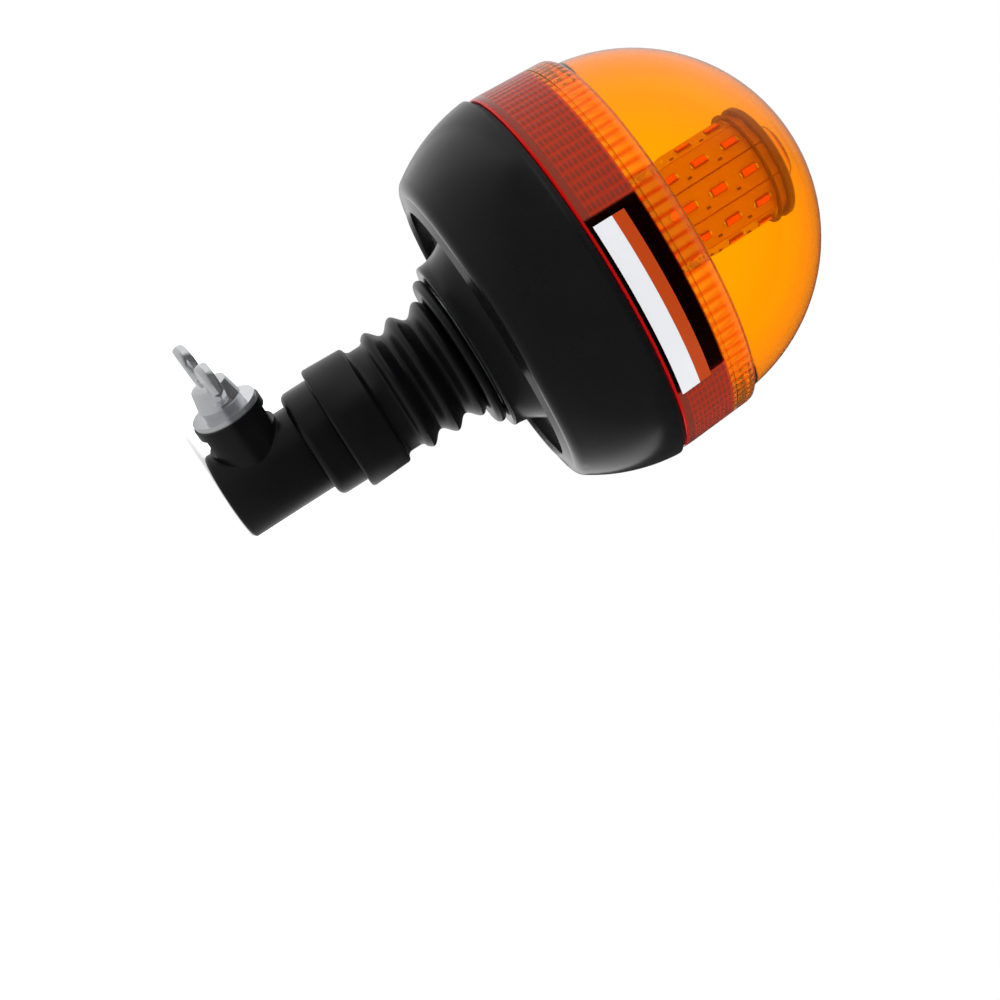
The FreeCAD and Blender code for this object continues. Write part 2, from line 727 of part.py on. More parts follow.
def make_wing_screw():
    body = new_body("wing_screw")
    thread = d.screw_radius - d.thread_room
    hub_top = hub_foot + d.hub_height
    section = outline(new_sketch(body, "XZ_Plane"), [
        (0, bore + d.tip_room),
        (thread - d.screw_tip_bevel, bore + d.tip_room),
        (thread, bore + d.tip_room + d.screw_tip_bevel),
        (thread, hub_foot),
        (d.hub_radius, hub_foot),
        (d.hub_top_radius, hub_top - d.hub_crown),
        (0, hub_top, crown_radius(d.hub_top_radius, d.hub_crown), -1),
    ])
    revolve(body, section)
    half_span = d.wing_span / 2
    ear = d.wing_ear
    top = hub_foot + d.wing_height
    ear_middle = top - ear
    for side in (1, -1):
        wing = outline(new_sketch(body, "YZ_Plane"), [
            (side * d.wing_root, hub_foot + d.wing_root_height),
            (side * d.hub_radius, hub_foot + d.wing_root_height),
            (side * half_span, ear_middle, d.wing_sweep, -side),
            (side * (half_span - ear), top, ear, -side),
            (side * (half_span - 2 * ear), ear_middle, ear, -side),
            (side * d.wing_root, hub_top - d.hub_crown, d.wing_hollow, side),
        ])
        pad(body, wing, d.wing_thickness, symmetric=True)
    place_on_clamp(body, d.wing_angle.value)


def make_flex_stem():
    rise = (d.rib_radius - d.rib_root_radius) / 2
    middle = d.rib_root_radius + rise
    quarter = d.rib_pitch / 4
    arc = (quarter * quarter + rise * rise) / (2 * rise)
    inside = d.spigot_radius + d.sleeve_room
    corner = d.sleeve_corner
    points = [
        (d.stem_bore, spigot_top + d.sleeve_room),
        (inside, spigot_top + d.sleeve_room),
        (inside, sleeve_bottom),
        (d.sleeve_radius - corner, sleeve_bottom),
        (d.sleeve_radius, sleeve_bottom + corner, corner, -1),
        (d.sleeve_top_radius, sleeve_top - corner),
        (d.sleeve_top_radius - corner, sleeve_top, corner, -1),
        (d.waist_radius, sleeve_top + d.waist_round, d.waist_round, 1),
        (d.waist_radius, first_rib - quarter - d.waist_round),
        (middle, first_rib - quarter, d.waist_top_round, 1),
    ]
    for index in range(int(d.rib_count.value)):
        crest = first_rib + index * d.rib_pitch
        if index:
            points.append((middle, crest - quarter, arc, 1))
        points.append((middle, crest + quarter, arc, -1))
    half = d.flange_height / 2
    points += [
        (middle, flange_bottom),
        (d.flange_radius - half, flange_bottom),
        (d.flange_radius, flange_bottom + half, half, -1),
        (d.flange_radius - half, flange_top, half, -1),
        (d.plate_radius + d.rubber_room, flange_top),
        (d.plate_radius + d.rubber_room, plate_bottom - d.rubber_room),
        (d.stem_bore, plate_bottom - d.rubber_room),
    ]
    lathe("flex_stem", points)


def make_stud():
    bottom = plate_bottom
    lathe("stem_stud", [
        (d.stud_bore, bottom),
        (d.plate_radius, bottom),
        (d.plate_radius, boss_bottom),
        (d.stud_radius, boss_bottom),
        (d.stud_radius, boss_bottom + d.stud_length),
        (d.stud_bore, boss_bottom + d.stud_length),
    ])
    hole = d.stud_radius + d.stud_room
    ring("stud_washer", hole, d.stud_washer_radius, boss_inside, d.stud_washer_height)
    nut = new_body("stud_nut")
    section = new_sketch(nut, z=boss_inside + d.stud_washer_height)
    polygon(section, 6, d.stud_nut_across / 2)
    circle(section, 0, 0, d.stud_radius)
    pad(nut, section, d.stud_nut_height)


def make_base_housing():
    body = lathe("base_housing", [
        (d.stud_radius + d.stud_room, boss_bottom),
        (d.boss_radius - d.boss_edge, boss_bottom),
        (d.boss_radius, boss_bottom + d.boss_edge, d.boss_edge, -1),
        (d.boss_flare_radius, web_bottom, d.boss_flare_round, 1),
        (lip_inner_radius, web_bottom),
        (lip_inner_radius, lip_bottom + d.lip_round),
        (lip_inner_radius + d.lip_round, lip_bottom, d.lip_round, -1),
        (lip_radius, lip_outer),
        (bowl_foot_radius, lip_outer + d.bowl_foot_rise, d.bowl_foot_round, -1),
        (bowl_radius, rim_top - d.bowl_edge, d.bowl_round, -1),
        (bowl_radius, rim_top),
        (collar_radius, rim_top),
        (collar_radius, collar_top),
        (collar_inside, collar_top),
        (collar_inside, rim_top - d.bowl_inner_drop + d.wall),
        (bowl_radius - d.bowl_rim_wall, rim_top - d.bowl_inner_drop),
        (bowl_foot_radius - d.wall, web_top, d.bowl_round - d.wall, 1),
        (d.boss_wall_radius + d.wall, web_top),
        (d.boss_wall_radius, web_top - d.wall, d.wall, -1),
        (d.boss_wall_radius, boss_inside),
        (d.stud_radius + d.stud_room, boss_inside),
    ])
    add_posts(body)
    add_lugs(body)
    return body


def add_posts(body):
    post = new_sketch(body, z=web_top)
    circle(post, post_reach, 0, d.post_radius)
    first_post = pad(body, post, d.post_height)
    pilot = new_sketch(body, z=board_bottom)
    circle(pilot, post_reach, 0, d.pilot_radius)
    first_pilot = pocket(body, pilot, d.pilot_depth)
    repeat(body, [first_post, first_pilot], d.lug_count)


def add_lugs(body):
    """Lugs on the inside of the neck, which carry the deck plate."""
    lug = new_sketch(body, z=deck_bottom)
    wide = d.lug_radius
    wall_middle = collar_radius - d.collar_wall / 2
    outline(lug, [
        (lug_reach, -wide, d.lug_round, -1),
        (wall_middle, -wide),
        (wall_middle, wide),
        (lug_reach, wide),
    ])
    feature = pad(body, lug, d.lug_height)
    feature.Reversed = True
    pilot = new_sketch(body, z=deck_bottom)
    circle(pilot, lug_reach, 0, d.pilot_radius)
    hole = pocket(body, pilot, d.pilot_depth)
    repeat(body, [feature, hole], d.lug_count)


def make_driver():
    board = new_body("driver_board")
    section = new_sketch(board, z=board_bottom)
    circle(section, 0, 0, board_radius)
    for index in range(int(d.lug_count.value)):
        x, y = around(post_reach, index, d.lug_count)
        circle(section, x, y, d.pilot_radius + d.screw_slack)
    pad(board, section, d.board_thickness)
    screw_circle(
        "board_screws", post_reach, board_top, d.pilot_radius - d.thread_room,
        d.board_screw_length, d.core_screw_head, d.core_screw_head_height,
    )
    cans = []
    height = deck_bottom - d.capacitor_room - board_top
    for index, side in enumerate((1, -1), start=1):
        can = lathe("capacitor_%d" % index, [
            (0, 0),
            (d.capacitor_radius, 0),
            (d.capacitor_radius, height - d.can_edge),
            (d.capacitor_radius - d.can_edge, height, d.can_edge, -1),
            (0, height),
        ])
        move_to(can, "Placement", 0, side * d.capacitor_reach, board_top, Rotation())
        cans.append(can)
    group("smoothing_capacitors", cans)
    box("storage_inductor", d.capacitor_reach, 0, d.inductor_size, d.inductor_size, d.inductor_height)
    box("input_terminal", -d.terminal_reach, 0, d.terminal_depth, d.terminal_width, d.terminal_height)
    chips = []
    for index, side in enumerate((1, -1), start=1):
        x = side * d.capacitor_reach * cosine(45)
        y = d.capacitor_reach * cosine(45)
        chips.append(box("chip_%d" % index, x, y, d.chip_length, d.chip_width, d.chip_height))
    group("driver_chips", chips)


def box(label, x, y, length, width, height):
    """Bevelled block that stands on the driver board."""
    body = new_body(label)
    section = rectangle(new_sketch(body, z=board_top), x, y, length, width)
    block = pad(body, section, height)
    top = (board_top + height).value
    soften(
        body, block, d.block_edge,
        lambda edge: min(vertex.Z for vertex in edge.Vertexes) > top - d.block_edge.value,
        "Chamfer",
    )
    return body


def make_cables():
    ring("supply_cable", 0, d.cable_radius, insulator_top, board_bottom - insulator_top)
    ring("tower_cable", 0, d.tower_cable_radius, board_top, strip_top - board_top)


def make_deck():
    plate = new_body("deck_plate")
    section = new_sketch(plate, z=deck_bottom)
    circle(section, 0, 0, deck_radius)
    circle(section, 0, 0, d.deck_hole)
    for index in range(int(d.lug_count.value)):
        x, y = around(lug_reach, index, d.lug_count)
        circle(section, x, y, d.pilot_radius + d.screw_slack)
        x, y = around(d.core_screw_reach, index, d.lug_count, d.strip_angle)
        circle(section, x, y, d.core_screw_radius + d.thread_room)
    pad(plate, section, d.deck_thickness)
    screw_circle(
        "deck_screws", lug_reach, deck_top, d.pilot_radius - d.thread_room,
        d.deck_screw_length, d.deck_screw_head, d.deck_screw_head_height,
    )
    screw_circle(
        "tower_screws", d.core_screw_reach, strip_bottom, d.core_screw_radius,
        d.core_screw_length, d.core_screw_head, d.core_screw_head_height, d.strip_angle,
    )


def make_tower():
    core = new_body("tower_core")
    foot = new_sketch(core, z=deck_top)
    circle(foot, 0, 0, d.core_flange_radius)
    pad(core, foot, d.core_flange_height)
    prism = new_sketch(core, z=deck_top)
    polygon(prism, int(d.strip_count.value), core_reach)
    pad(core, prism, strip_top - deck_top)
    hollow = new_sketch(core, z=deck_top)
    circle(hollow, 0, 0, core_reach - d.core_wall)
    pocket(core, hollow, strip_top - deck_top, upward=True)
    holes = new_sketch(core, z=deck_top)
    circle(holes, d.core_screw_reach, 0, d.core_screw_radius + d.screw_slack)
    hole = pocket(core, holes, d.core_flange_height, upward=True)
    repeat(core, [hole], d.lug_count)
    turn_tower(core, 0)
    for index in range(int(d.strip_count.value)):
        make_strip(index)
    lathe("strip_retainer", [
        (retainer_inner, retainer_bottom),
        (d.retainer_radius, retainer_bottom),
        (d.retainer_radius, retainer_bottom + d.retainer_thickness),
        (retainer_inner, retainer_bottom + d.retainer_thickness),
    ])
    lathe("tower_cap", [
        (0, strip_top),
        (d.cap_radius, strip_top),
        (d.cap_radius, strip_top + d.cap_height - d.cap_edge),
        (d.cap_radius - d.cap_edge, strip_top + d.cap_height),
        (0, strip_top + d.cap_height),
    ])


def turn_about(body, angle):
    """Turns a body about the beacon's axis."""
    body.Placement = Placement(Vector(), Rotation(Vector(0, 0, 1), angle.value))
    body.setExpression("Placement.Rotation.Angle", angle.formula)


def turn_tower(body, index):
    """Turns a tower piece to face number index round the tower."""
    turn_about(body, d.strip_angle + 360 * index / d.strip_count)


def make_strip(index):
    strip = new_body("led_strip_%02d" % (index + 1))
    middle = d.strip_reach - d.strip_thickness / 2
    section = rectangle(new_sketch(strip, z=strip_bottom), middle, 0, d.strip_thickness, d.strip_width)
    pad(strip, section, strip_top - strip_bottom)
    turn_tower(strip, index)
    diodes = new_body("led_set_%02d" % (index + 1))
    packages = new_sketch(diodes, "YZ_Plane", z=d.strip_reach)
    wells = new_sketch(diodes, "YZ_Plane", z=d.strip_reach + d.led_height)
    for row in range(int(d.led_rows.value)):
        height = led_first + row * led_pitch
        rectangle(packages, 0, height, d.led_width, d.led_length)
        rectangle(wells, 0, height, d.led_width - 2 * d.led_rim, d.led_length - 2 * d.led_rim)
    pad(diodes, packages, d.led_height)
    pocket(diodes, wells, d.led_well)
    turn_tower(diodes, index)


def band_point(height):
    """Place on the outside of the lens band."""
    return d.lens_radius - band_slope * (height - lens_rim_top), height


def make_lens():
    gasket_radius = d.lens_radius - d.gasket_inset
    ring("lens_gasket", collar_radius + d.seal_room, gasket_radius, gasket_bottom, d.gasket_height)
    inner_start = root(inner_dome * inner_dome - d.inner_step * d.inner_step)
    pad_edge = root(inner_dome * inner_dome - d.gate_radius * d.gate_radius)
    line = seam + d.band_line_height
    body = lathe("lens_dome", [
        (skirt_radius, seam),
        (d.lens_radius, seam),
        (d.lens_radius, lens_rim_top),
        band_point(line - d.band_line),
        (band_point(line)[0] - d.band_line, line),
        band_point(line + d.band_line),
        (band_radius, band_top),
        (shoulder_radius, lens_shoulder, d.shoulder_round, -1),
        (0, dome_centre + dome_radius, dome_radius, -1),
        (0, dome_centre + pad_edge - d.gate_height),
        (d.gate_radius, dome_centre + pad_edge - d.gate_height),
        (d.gate_radius, dome_centre + pad_edge),
        (inner_start, dome_centre + d.inner_step, inner_dome, 1),
        (skirt_radius, lens_shoulder - d.skirt_drop),
    ])
    # The flutes start at the panel's right end and go the long way round to its left end.
    share = d.panel_flute_count / d.flute_count
    lower = cut_flute(body, lens_rim_top + d.flute_end, line - d.flute_end)
    repeat(body, [lower], d.flute_count - d.panel_flute_count + 1, 360 * (1 - share))
    upper = cut_flute(body, line + d.flute_end, band_top - d.flute_end)
    repeat(body, [upper], d.flute_count)
    turn_about(body, d.panel_end_angle)
    make_foil()
    return body


def cut_flute(body, bottom, top):
    """Groove between two flutes, along the taper of the band."""
    low = band_point(bottom)[0]
    high = band_point(top)[0]
    groove = outline(new_sketch(body, "XZ_Plane"), [
        (low - d.flute_depth, bottom),
        (low + d.flute_depth, bottom),
        (high + d.flute_depth, top),
        (high - d.flute_depth, top),
    ])
    return pocket(body, groove, d.flute_gap, symmetric=True)


def make_foil():
    body = new_body("label_foil")
    bottom = seam + d.foil_lift
    top = bottom + d.foil_height
    rim = d.lens_radius + d.foil_room
    high = band_point(top)[0] + d.foil_room
    section = outline(new_sketch(body, "XZ_Plane"), [
        (rim, bottom),
        (rim + d.foil_thickness, bottom),
        (rim + d.foil_thickness, lens_rim_top),
        (high + d.foil_thickness, top),
        (high, top),
        (rim, lens_rim_top),
    ])
    revolve(body, section, d.foil_angle)
    turn_about(body, d.foil_centre_angle)


def report_problems():
    problems = []
    for item in doc.Objects:
        if "Invalid" in item.State or "Error" in item.State:
            problems.append("%s: %s" % (item.Name, item.State))
    for item in PARTS:
        if item.Shape.isNull() or not item.Shape.isValid() or not item.Shape.Solids:
            problems.append("%s has no valid solid" % item.Label)
    return problems


def export_parts():
    os.makedirs("parts", exist_ok=True)
    for item in PARTS:
        item.Shape.exportStep(os.path.join("parts", item.Label + ".step"))
        box = item.Shape.BoundBox
        print("%-22s %d solid %10.1f mm3  z %.1f to %.1f" % (
            item.Label, len(item.Shape.Solids), item.Shape.Volume, box.ZMin, box.ZMax))


make_socket_tube()
make_contact()
make_clamp_screw()
make_flex_stem()
make_stud()
make_base_housing()
make_driver()
make_cables()
make_deck()
make_tower()
make_lens()
doc.recompute()
problems = report_problems()
if problems:
    raise SystemExit("\n".join(problems))
export_parts()
print("%d nodes" % len(PARTS))
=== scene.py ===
import math
import bmesh
import bpy
from mathutils import Matrix, Vector


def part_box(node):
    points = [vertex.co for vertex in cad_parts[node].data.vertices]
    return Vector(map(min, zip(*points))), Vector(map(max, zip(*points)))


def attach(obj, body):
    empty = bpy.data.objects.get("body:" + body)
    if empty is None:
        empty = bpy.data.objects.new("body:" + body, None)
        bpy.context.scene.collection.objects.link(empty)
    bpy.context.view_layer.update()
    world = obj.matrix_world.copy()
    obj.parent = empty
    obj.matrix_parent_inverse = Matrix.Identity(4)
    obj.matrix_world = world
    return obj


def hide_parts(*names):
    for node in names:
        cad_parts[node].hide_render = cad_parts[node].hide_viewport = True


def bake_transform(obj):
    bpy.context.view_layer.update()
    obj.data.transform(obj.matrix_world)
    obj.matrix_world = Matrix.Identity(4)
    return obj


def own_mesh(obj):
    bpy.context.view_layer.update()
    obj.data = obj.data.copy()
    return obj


# Amber signal beacon on a flexible pole socket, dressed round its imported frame.
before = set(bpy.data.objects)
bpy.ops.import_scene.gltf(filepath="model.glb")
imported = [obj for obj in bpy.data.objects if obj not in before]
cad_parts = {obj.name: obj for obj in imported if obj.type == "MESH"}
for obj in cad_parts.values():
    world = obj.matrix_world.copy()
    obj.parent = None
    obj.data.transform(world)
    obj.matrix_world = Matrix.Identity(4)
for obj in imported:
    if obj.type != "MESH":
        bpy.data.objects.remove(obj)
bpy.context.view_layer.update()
mm = 0.001
scene = bpy.context.scene


def addObject(name, data):
    thing = bpy.data.objects.new(name, data)
    scene.collection.objects.link(thing)
    return thing


# camera first
shot = {
    "place": Vector((58.2, -554.7, 54.6)) * mm,
    "aim": Vector((51.1, 0, 77.9)) * mm,
    "roll": 57.3,  # degrees; the axis leans to the upper right
    "lens": 57.6,
    "sensor": 36,
}


def addCamera():
    data = bpy.data.cameras.new("camera")
    data.lens = shot["lens"]
    data.sensor_width = shot["sensor"]
    data.clip_start = 0.01
    camera = addObject("camera", data)
    level = (shot["aim"] - shot["place"]).to_track_quat("-Z", "Y").to_matrix()
    turn = level @ Matrix.Rotation(math.radians(shot["roll"]), 3, "Z")
    camera.matrix_world = Matrix.Translation(shot["place"]) @ turn.to_4x4()
    scene.camera = camera


addCamera()
print("camera stands")


# shared tools
def linear(code, alpha=1):
    values = [int(code[i:i + 2], 16) / 255 for i in (0, 2, 4)]
    return [v / 12.92 if v <= 0.04045 else ((v + 0.055) / 1.055) ** 2.4 for v in values] + [alpha]


def addNode(tree, kind, inputs=None, **settings):
    node = tree.nodes.new(kind)
    for name, value in settings.items():
        setattr(node, name, value)
    for name, value in (inputs or {}).items():
        if isinstance(value, bpy.types.NodeSocket):
            tree.links.new(value, node.inputs[name])
        else:
            node.inputs[name].default_value = value
    return node


def newMaterial(name, colour, roughness, **more):
    material = bpy.data.materials.new(name)
    material.use_nodes = True
    tree = material.node_tree
    shader = tree.nodes["Principled BSDF"]
    shader.inputs["Base Color"].default_value = linear(colour)
    shader.inputs["Roughness"].default_value = roughness
    for socket, value in more.items():
        shader.inputs[socket.replace("_", " ")].default_value = value
    return material, tree, shader


def makePiece(name, mesh, material=None, sharp=35):
    mesh.name = name
    if material:
        mesh.materials.clear()
        mesh.materials.append(material)
    mesh.polygons.foreach_set("use_smooth", [True] * len(mesh.polygons))
    mesh.set_sharp_from_angle(angle=math.radians(sharp))
    return addObject(name, mesh)


def takeMesh(holder):
    # the holder's mesh with its modifiers applied
    graph = bpy.context.evaluated_depsgraph_get()
    mesh = bpy.data.meshes.new_from_object(holder.evaluated_get(graph))
    bpy.data.objects.remove(holder)
    return mesh


def finishMesh(work, name):
    mesh = bpy.data.meshes.new(name)
    work.to_mesh(mesh)
    work.free()
    return mesh


def joinRings(work, rings):
    # closed skin over rings of points, both ends capped
    for low, high in zip(rings, rings[1:]):
        for j in range(len(low)):
            k = (j + 1) % len(low)
            work.faces.new((low[j], low[k], high[k], high[j]))
    work.faces.new(rings[0])
    work.faces.new(rings[-1])
    bmesh.ops.recalc_face_normals(work, faces=work.faces)


def arcPoints(centre, radius, first, last, steps):
    # points of an arc in the (radius, height) plane, both ends included
    angles = [math.radians(first + (last - first) * i / steps) for i in range(steps + 1)]
    return [(centre[0] + radius * math.cos(a), centre[1] + radius * math.sin(a)) for a in angles]


def lathe(name, profile, steps, weights=None):
    # a closed profile, up its outside and down its inside, turned about Z
    points, rows = [], []
    for radius, height in profile:
        if radius < 1e-7:
            rows.append([len(points)] * steps)
            points.append((0, 0, height))
        else:
            rows.append(range(len(points), len(points) + steps))
            points += [(radius * math.cos(a), radius * math.sin(a), height)
                       for a in (2 * math.pi * j / steps for j in range(steps))]
    faces = []
    for low, high in zip(rows, rows[1:] + rows[:1]):
        for j in range(steps):
            k = (j + 1) % steps
            face = list(dict.fromkeys((low[j], low[k], high[k], high[j])))
            if len(face) > 2:
                faces.append(face)
    mesh = bpy.data.meshes.new(name)
    mesh.from_pydata(points, [], faces)
    for label, values in (weights or {}).items():
        spread = [0.0] * len(points)
        for row, value in zip(rows, values):
            for index in row:
                spread[index] = value
        mesh.attributes.new(label, "FLOAT", "POINT").data.foreach_set("value", spread)
    mesh.validate()
    return mesh


def newTree(name, inputs):
    tree = bpy.data.node_groups.new(name, "GeometryNodeTree")
    for label, kind in inputs:
        tree.interface.new_socket(label, in_out="INPUT", socket_type="NodeSocket" + kind)
    tree.interface.new_socket("Geometry", in_out="OUTPUT", socket_type="NodeSocketGeometry")
    return tree, addNode(tree, "NodeGroupInput").outputs, addNode(tree, "NodeGroupOutput").inputs


def closeTree(tree, shape, material, result):
    # plain geometry in one material
    real = addNode(tree, "GeometryNodeRealizeInstances", {0: shape})
    painted = addNode(tree, "GeometryNodeSetMaterial", {"Geometry": real.outputs[0], "Material": material})
    tree.links.new(painted.outputs[0], result["Geometry"])
    return tree


def coilTree():
    # a wire or a thread, wound about Z from its foot
    tree, given, result = newTree("coil", [(n, "Float") for n in ("Radius", "Wire", "Turns", "Height", "Foot")]
                                  + [("Steps", "Int"), ("Sides", "Int"), ("Finish", "Material")])
    spiral = addNode(tree, "GeometryNodeCurveSpiral", {
        "Resolution": given["Steps"], "Rotations": given["Turns"], "Start Radius": given["Radius"],
        "End Radius": given["Radius"], "Height": given["Height"]})
    section = addNode(tree, "GeometryNodeCurvePrimitiveCircle", {
        "Resolution": given["Sides"], "Radius": given["Wire"]})
    swept = addNode(tree, "GeometryNodeCurveToMesh", {
        "Curve": spiral.outputs[0], "Profile Curve": section.outputs["Curve"], "Fill Caps": True})
    lift = addNode(tree, "ShaderNodeCombineXYZ", {"Z": given["Foot"]})
    placed = addNode(tree, "GeometryNodeTransform", {
        "Geometry": swept.outputs[0], "Translation": lift.outputs[0]})
    return closeTree(tree, placed.outputs[0], given["Finish"], result)


def runTree(name, tree, values, base=None):
    # the tree's result as a plain mesh
    holder = addObject(name + "Maker", base or bpy.data.meshes.new(name + "Base"))
    modifier = holder.modifiers.new("make", "NODES")
    modifier.node_group = tree
    for item in tree.interface.items_tree:
        if item.in_out == "INPUT" and item.name in values:
            modifier[item.identifier] = values[item.name]
    return takeMesh(holder)


# materials
def linkSkin(tree, shader, colour, bump, spread=None):
    tree.links.new(colour.outputs[2], shader.inputs["Base Color"])
    tree.links.new(bump.outputs["Normal"], shader.inputs["Normal"])
    if spread:
        tree.links.new(spread.outputs["Result"], shader.inputs["Roughness"])


def moulded(name, colour, worn, roughness, patch, grain, height, **more):
    # patch: size of the soft changes of tone, grain: size of the surface texture, height: its depth
    material, tree, shader = newMaterial(name, colour, roughness, **more)
    place = addNode(tree, "ShaderNodeTexCoord").outputs["Object"]
    tone = addNode(tree, "ShaderNodeTexNoise", {"Vector": place, "Scale": 1 / patch, "Detail": 4.0})
    mix = addNode(tree, "ShaderNodeMix", {0: tone.outputs["Fac"], 6: linear(colour), 7: linear(worn)},
                  data_type="RGBA")
    spread = addNode(tree, "ShaderNodeMapRange", {
        "Value": tone.outputs["Fac"], "To Min": roughness * 0.8, "To Max": roughness * 1.25})
    skin = addNode(tree, "ShaderNodeTexNoise", {"Vector": place, "Scale": 1 / grain, "Detail": 2.0})
    bump = addNode(tree, "ShaderNodeBump", {
        "Height": skin.outputs["Fac"], "Distance": height, "Strength": 0.6})
    linkSkin(tree, shader, mix, bump, spread)
    return material


def plated(name, colour, dull, roughness, patch, stretch, line, height, metal=1.0):
    # metal with fine lines: stretch squeezes the noise along the axes that the lines cross
    # metal: the share that mirrors, while the rest of a bright plating scatters
    material, tree, shader = newMaterial(name, colour, roughness, Metallic=metal)
    place = addNode(tree, "ShaderNodeTexCoord").outputs["Object"]
    tone = addNode(tree, "ShaderNodeTexNoise", {"Vector": place, "Scale": 1 / patch, "Detail": 3.0})
    mix = addNode(tree, "ShaderNodeMix", {0: tone.outputs["Fac"], 6: linear(colour), 7: linear(dull)},
                  data_type="RGBA")
    drawn = addNode(tree, "ShaderNodeMapping", {"Vector": place, "Scale": stretch})
    lines = addNode(tree, "ShaderNodeTexNoise", {
        "Vector": drawn.outputs["Vector"], "Scale": 1 / line, "Detail": 2.0})
    spread = addNode(tree, "ShaderNodeMapRange", {
        "Value": lines.outputs["Fac"], "To Min": roughness * 0.6, "To Max": roughness * 1.5})
    bump = addNode(tree, "ShaderNodeBump", {
        "Height": lines.outputs["Fac"], "Distance": height, "Strength": 0.5})
    linkSkin(tree, shader, mix, bump, spread)
    return material


even = (1, 1, 1)  # no stretch: the lines run every way
finishes = {
    # gloss ABS: deep black with a polished tool's faint orange peel; the low IOR keeps it from going grey
    "base_plastic": moulded("glossAbs", "101011", "161617", 0.17, 14 * mm, 1.6 * mm, 0.006 * mm, IOR=1.33),
    # glass-filled nylon: a little duller, fibres just felt in the skin
    "socket_plastic": moulded("glassNylon", "08080a", "0d0d0e", 0.24, 9 * mm, 0.7 * mm, 0.006 * mm, IOR=1.37),
    # phenolic: dark, dry and slightly mottled
    "insulator_plastic": moulded("phenolic", "231c18", "302822", 0.45, 3 * mm, 0.3 * mm, 0.01 * mm),
    # EPDM rubber: soft wide highlights over a fine moulded grain
    "stem_rubber": moulded("epdmRubber", "08080a", "101012", 0.3, 7 * mm, 0.5 * mm, 0.008 * mm, IOR=1.4),
    # silicone seal: matt with a thin bloom
    "seal_rubber": moulded("siliconeSeal", "0b0b0b", "161616", 0.6, 4 * mm, 0.3 * mm, 0.02 * mm),
    # bright zinc on turned steel: bluish, with faint rings left by the tool
    "zinc_steel": plated("brightZinc", "e6e8ea", "d2d5d8", 0.12, 4 * mm, even, 0.4 * mm, 0.004 * mm, 0.88),
    # chrome on a casting: mirror over softly uneven metal
    "chrome_steel": plated("castChrome", "f4f5f6", "e2e4e6", 0.07, 5 * mm, even, 2.2 * mm, 0.03 * mm, 0.9),
    # turned brass: warm, with fine rings across the axis
    "contact_brass": plated("turnedBrass", "d9b766", "b48f45", 0.22, 3 * mm, (0.1, 0.1, 1), 0.2 * mm,
                            0.004 * mm),
    # spring wire: drawn, satin
    "spring_steel": plated("springWire", "b4b8bc", "8f9398", 0.28, 2 * mm, even, 0.3 * mm, 0.003 * mm),
    # PVC jacket: soft sheen
    "cable_jacket": moulded("pvcJacket", "111112", "1a1a1b", 0.42, 6 * mm, 0.4 * mm, 0.01 * mm),
    # green solder mask over glass cloth: the weave just shows
    "driver_circuit_board": moulded("greenMask", "0d5a36", "10693f", 0.3, 5 * mm, 0.5 * mm, 0.01 * mm),
    # shrink sleeve: satin dark blue
    "capacitor_sleeve": moulded("shrinkSleeve", "10162a", "172038", 0.3, 5 * mm, 0.8 * mm, 0.01 * mm),
    # ferrite: dry, dark grey and gritty
    "ferrite": moulded("ferriteCore", "2a2a2c", "38383a", 0.62, 2 * mm, 0.2 * mm, 0.03 * mm),
    # moulded epoxy: matt black, fine grit
    "chip_epoxy": moulded("chipEpoxy", "141415", "1d1d1f", 0.5, 2 * mm, 0.15 * mm, 0.01 * mm),
    # white ABS: clean and softly glossy
    "deck_plastic": moulded("whiteAbs", "eeece4", "e2dfd5", 0.32, 12 * mm, 1.0 * mm, 0.006 * mm),
    # extruded aluminium: fine lines run up the tower
    "core_aluminium": plated("blackAnodised", "2c2c2e", "202022", 0.35, 6 * mm, (1, 1, 0.04), 0.25 * mm,
                             0.006 * mm),
    # solder mask: smooth, and tan: painted shade, darker and warmer than the white boards, as they look
    # through the lens
    "strip_circuit_board": moulded("whiteMask", "ffc890", "f8b878", 0.28, 3 * mm, 0.4 * mm, 0.006 * mm),
    # polyamide package: reddish and slightly waxy round the gel with its painted glow
    "diode_package": moulded("diodePolyamide", "e07848", "d06838", 0.35, 1 * mm, 0.2 * mm, 0.004 * mm),
    # nylon: tan, with the soft sheen of a moulding
    "retainer_plastic": moulded("naturalNylon", "a87850", "98683f", 0.4, 5 * mm, 0.5 * mm, 0.008 * mm),
    "cap_plastic": moulded("tintedNylon", "a87850", "98683f", 0.38, 6 * mm, 0.6 * mm, 0.008 * mm),
    # glazed thick-film resistor: smooth and brown
    "resistor_glaze": moulded("resistorGlaze", "a4744a", "90643e", 0.35, 1 * mm, 0.2 * mm, 0.005 * mm),
}

